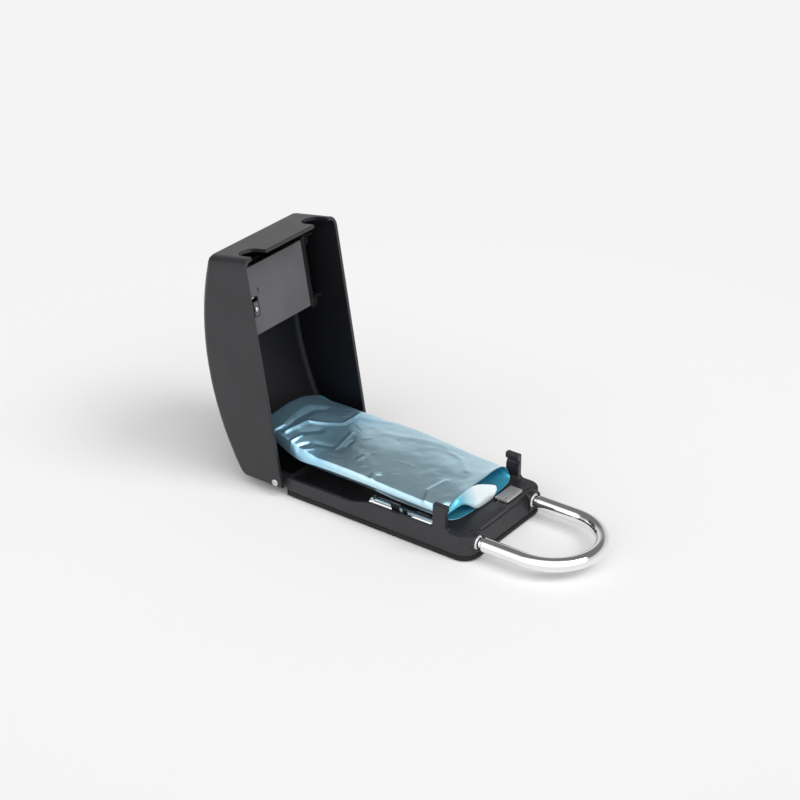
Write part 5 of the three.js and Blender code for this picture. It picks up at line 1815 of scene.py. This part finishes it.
    def build(self) -> list[bpy.types.Object]:
        """Makes the sleeve, crumples and parts it, and gives the film its thickness.

        Returns:
            The front, which rides on the base, and the rear.
        """
        bench = Bench(self.cage())
        bench.closed()
        bench.modifier("SUBSURF", levels=self.levels, render_levels=self.levels)
        self.crumple(bench.piece)
        shading = {self.key(corner.co): corner.normal.copy() for corner in bench.piece.data.vertices}
        rear = self.parted(bench)
        lip = self.lip()
        for piece in (bench.piece, rear.piece, lip):
            for finish in (FILM_OUTSIDE, FILM_INSIDE, FILM_LIP, FILM_INSIDE):
                piece.data.materials.append(finish.material())
        front = Bench(joined([bench.piece, lip], "pouch_film"))
        for part in (front, rear):
            self.thick(part, shading)
            LOG.info("%s is film with %d faces", part.piece.name, len(part.piece.data.polygons))
        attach(front.piece, Body.BASE.value)
        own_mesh(front.piece)
        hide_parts("foil_pouch")
        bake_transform(rear.piece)
        return [front.piece, rear.piece]


# Studio


@dataclass(frozen=True)
class Studio:
    """Camera at the photograph's place, a pale floor and soft light."""

    place: Point = (681.24, -944.75, 695.43)
    azimuth: float = 36.251
    elevation: float = 28.130
    lens: float = 96.55
    sensor: float = 36.0
    clip: tuple[float, float] = (0.05, 60)
    paper: float = 0.905
    floor_radius: float = 1.3
    floor_sides: int = 96
    floor_drop: float = 0.0002
    fade: tuple[float, float] = (0.27, 0.42)
    paper_tint: Colour = (0.955, 0.943, 0.937)
    dark: float = 0.19
    wall: float = 0.57
    wall_edge: tuple[float, float] = (0.37, 0.56)
    box: float = 1.2
    box_edge: tuple[float, float] = (0.3, 0.46)
    box_way: Point = (0.5, -0.78, 0.38)
    key: float = 0.8
    key_spread: float = 26
    key_height: float = 50
    key_turn: float = 0.24
    key_colour: Colour = (0.97, 0.985, 1.0)

    def camera(self) -> None:
        """Sets the camera up."""
        a, e = math.radians(self.azimuth), math.radians(self.elevation)
        back = Vector((math.sin(a) * math.cos(e), -math.cos(a) * math.cos(e), math.sin(e)))
        data = bpy.data.cameras.new("photo_camera")
        data.lens, data.sensor_width = self.lens, self.sensor
        data.clip_start, data.clip_end = self.clip
        camera = linked("photo_camera", data)
        camera.location = Vector(self.place) * MM
        camera.rotation_mode = "QUATERNION"
        camera.rotation_quaternion = (-back).to_track_quat("-Z", "Y")
        bpy.context.scene.camera = camera

    def floor(self) -> None:
        """Lays a round pale floor that keeps the shadow and fades into the paper-white backdrop."""
        deselect()
        bpy.ops.mesh.primitive_circle_add(vertices=self.floor_sides, radius=self.floor_radius,
                                          fill_type="NGON", location=(0, 0, -self.floor_drop))
        ground = Bench.taken("studio_floor").piece
        board = Board.named("studio_paper")
        path = board.node("ShaderNodeLightPath", output="Is Camera Ray")
        reach = board.node("ShaderNodeVectorMath", {"operation": "LENGTH"},
                           {0: board.node("ShaderNodeTexCoord", output="Object")}, 1)
        sheet = board.node("ShaderNodeBsdfDiffuse", {}, {"Color": self.paper_tint})
        glow = board.node("ShaderNodeEmission", {}, {"Color": (self.paper,) * 3, "Strength": 1.0})
        faded = path * reach.clipped(*self.fade)
        mixed = board.node("ShaderNodeMixShader", {}, {0: faded, 1: sheet, 2: glow})
        board.node("ShaderNodeOutputMaterial", {}, {"Surface": mixed})
        ground.data.materials.append(board.material)

    def world(self) -> None:
        """A dim room with pale walls and a soft box beside the camera, paper white to the camera."""
        world = bpy.data.worlds.new("studio")
        bpy.context.scene.world = world
        board = Board(world)
        way = board.node("ShaderNodeTexCoord", output="Generated")
        up = board.node("ShaderNodeSeparateXYZ", {}, {0: way}, "Z")
        towards = board.node("ShaderNodeVectorMath", {"operation": "DOT_PRODUCT"},
                             {0: way, 1: self.box_way}, 1)
        box = towards.clipped(*self.box_edge)
        wall = (1 - up.clipped(*self.wall_edge)) * (1 - box)
        dome = self.dark + wall * self.wall + box * self.box
        path = board.node("ShaderNodeLightPath", output="Is Camera Ray")
        shown = board.mix(path, dome, (self.paper,) * 3)
        back = board.node("ShaderNodeBackground", {}, {"Color": shown, "Strength": 1.0})
        board.node("ShaderNodeOutputWorld", {}, {"Surface": back})

    def sun(self) -> None:
        """The soft key light from the shackle's side."""
        data = bpy.data.lights.new("key_light", "SUN")
        data.energy, data.angle = self.key, math.radians(self.key_spread)
        data.color = self.key_colour
        lamp = linked("key_light", data)
        way, turn = math.radians(self.key_height), self.key_turn
        towards = Vector((math.cos(way) * math.cos(turn), math.cos(way) * math.sin(turn), math.sin(way)))
        lamp.rotation_mode = "QUATERNION"
        lamp.rotation_quaternion = (-towards).to_track_quat("-Z", "Y")

    def build(self) -> None:
        """Makes the whole studio."""
        scene = bpy.context.scene
        scene.view_settings.view_transform = "Standard"
        self.camera()
        self.floor()
        self.world()
        self.sun()


MAKERS = (
    Cover(), Plate(), Tray(), Shackle(), Pad(), Screw(), ResetScrew(), HingePins(), ClipRivets(),
    Coil(), Dials(), Button(), PlateMark(), Pouch(),
)


def main() -> None:
    """Builds everything in order."""
    logging.basicConfig(level=logging.INFO, format="%(name)s: %(message)s")
    Studio().build()
    paint_nodes()
    for maker in (*REFINED, *MAKERS):
        maker.build()


if __name__ == "__main__":
    main()
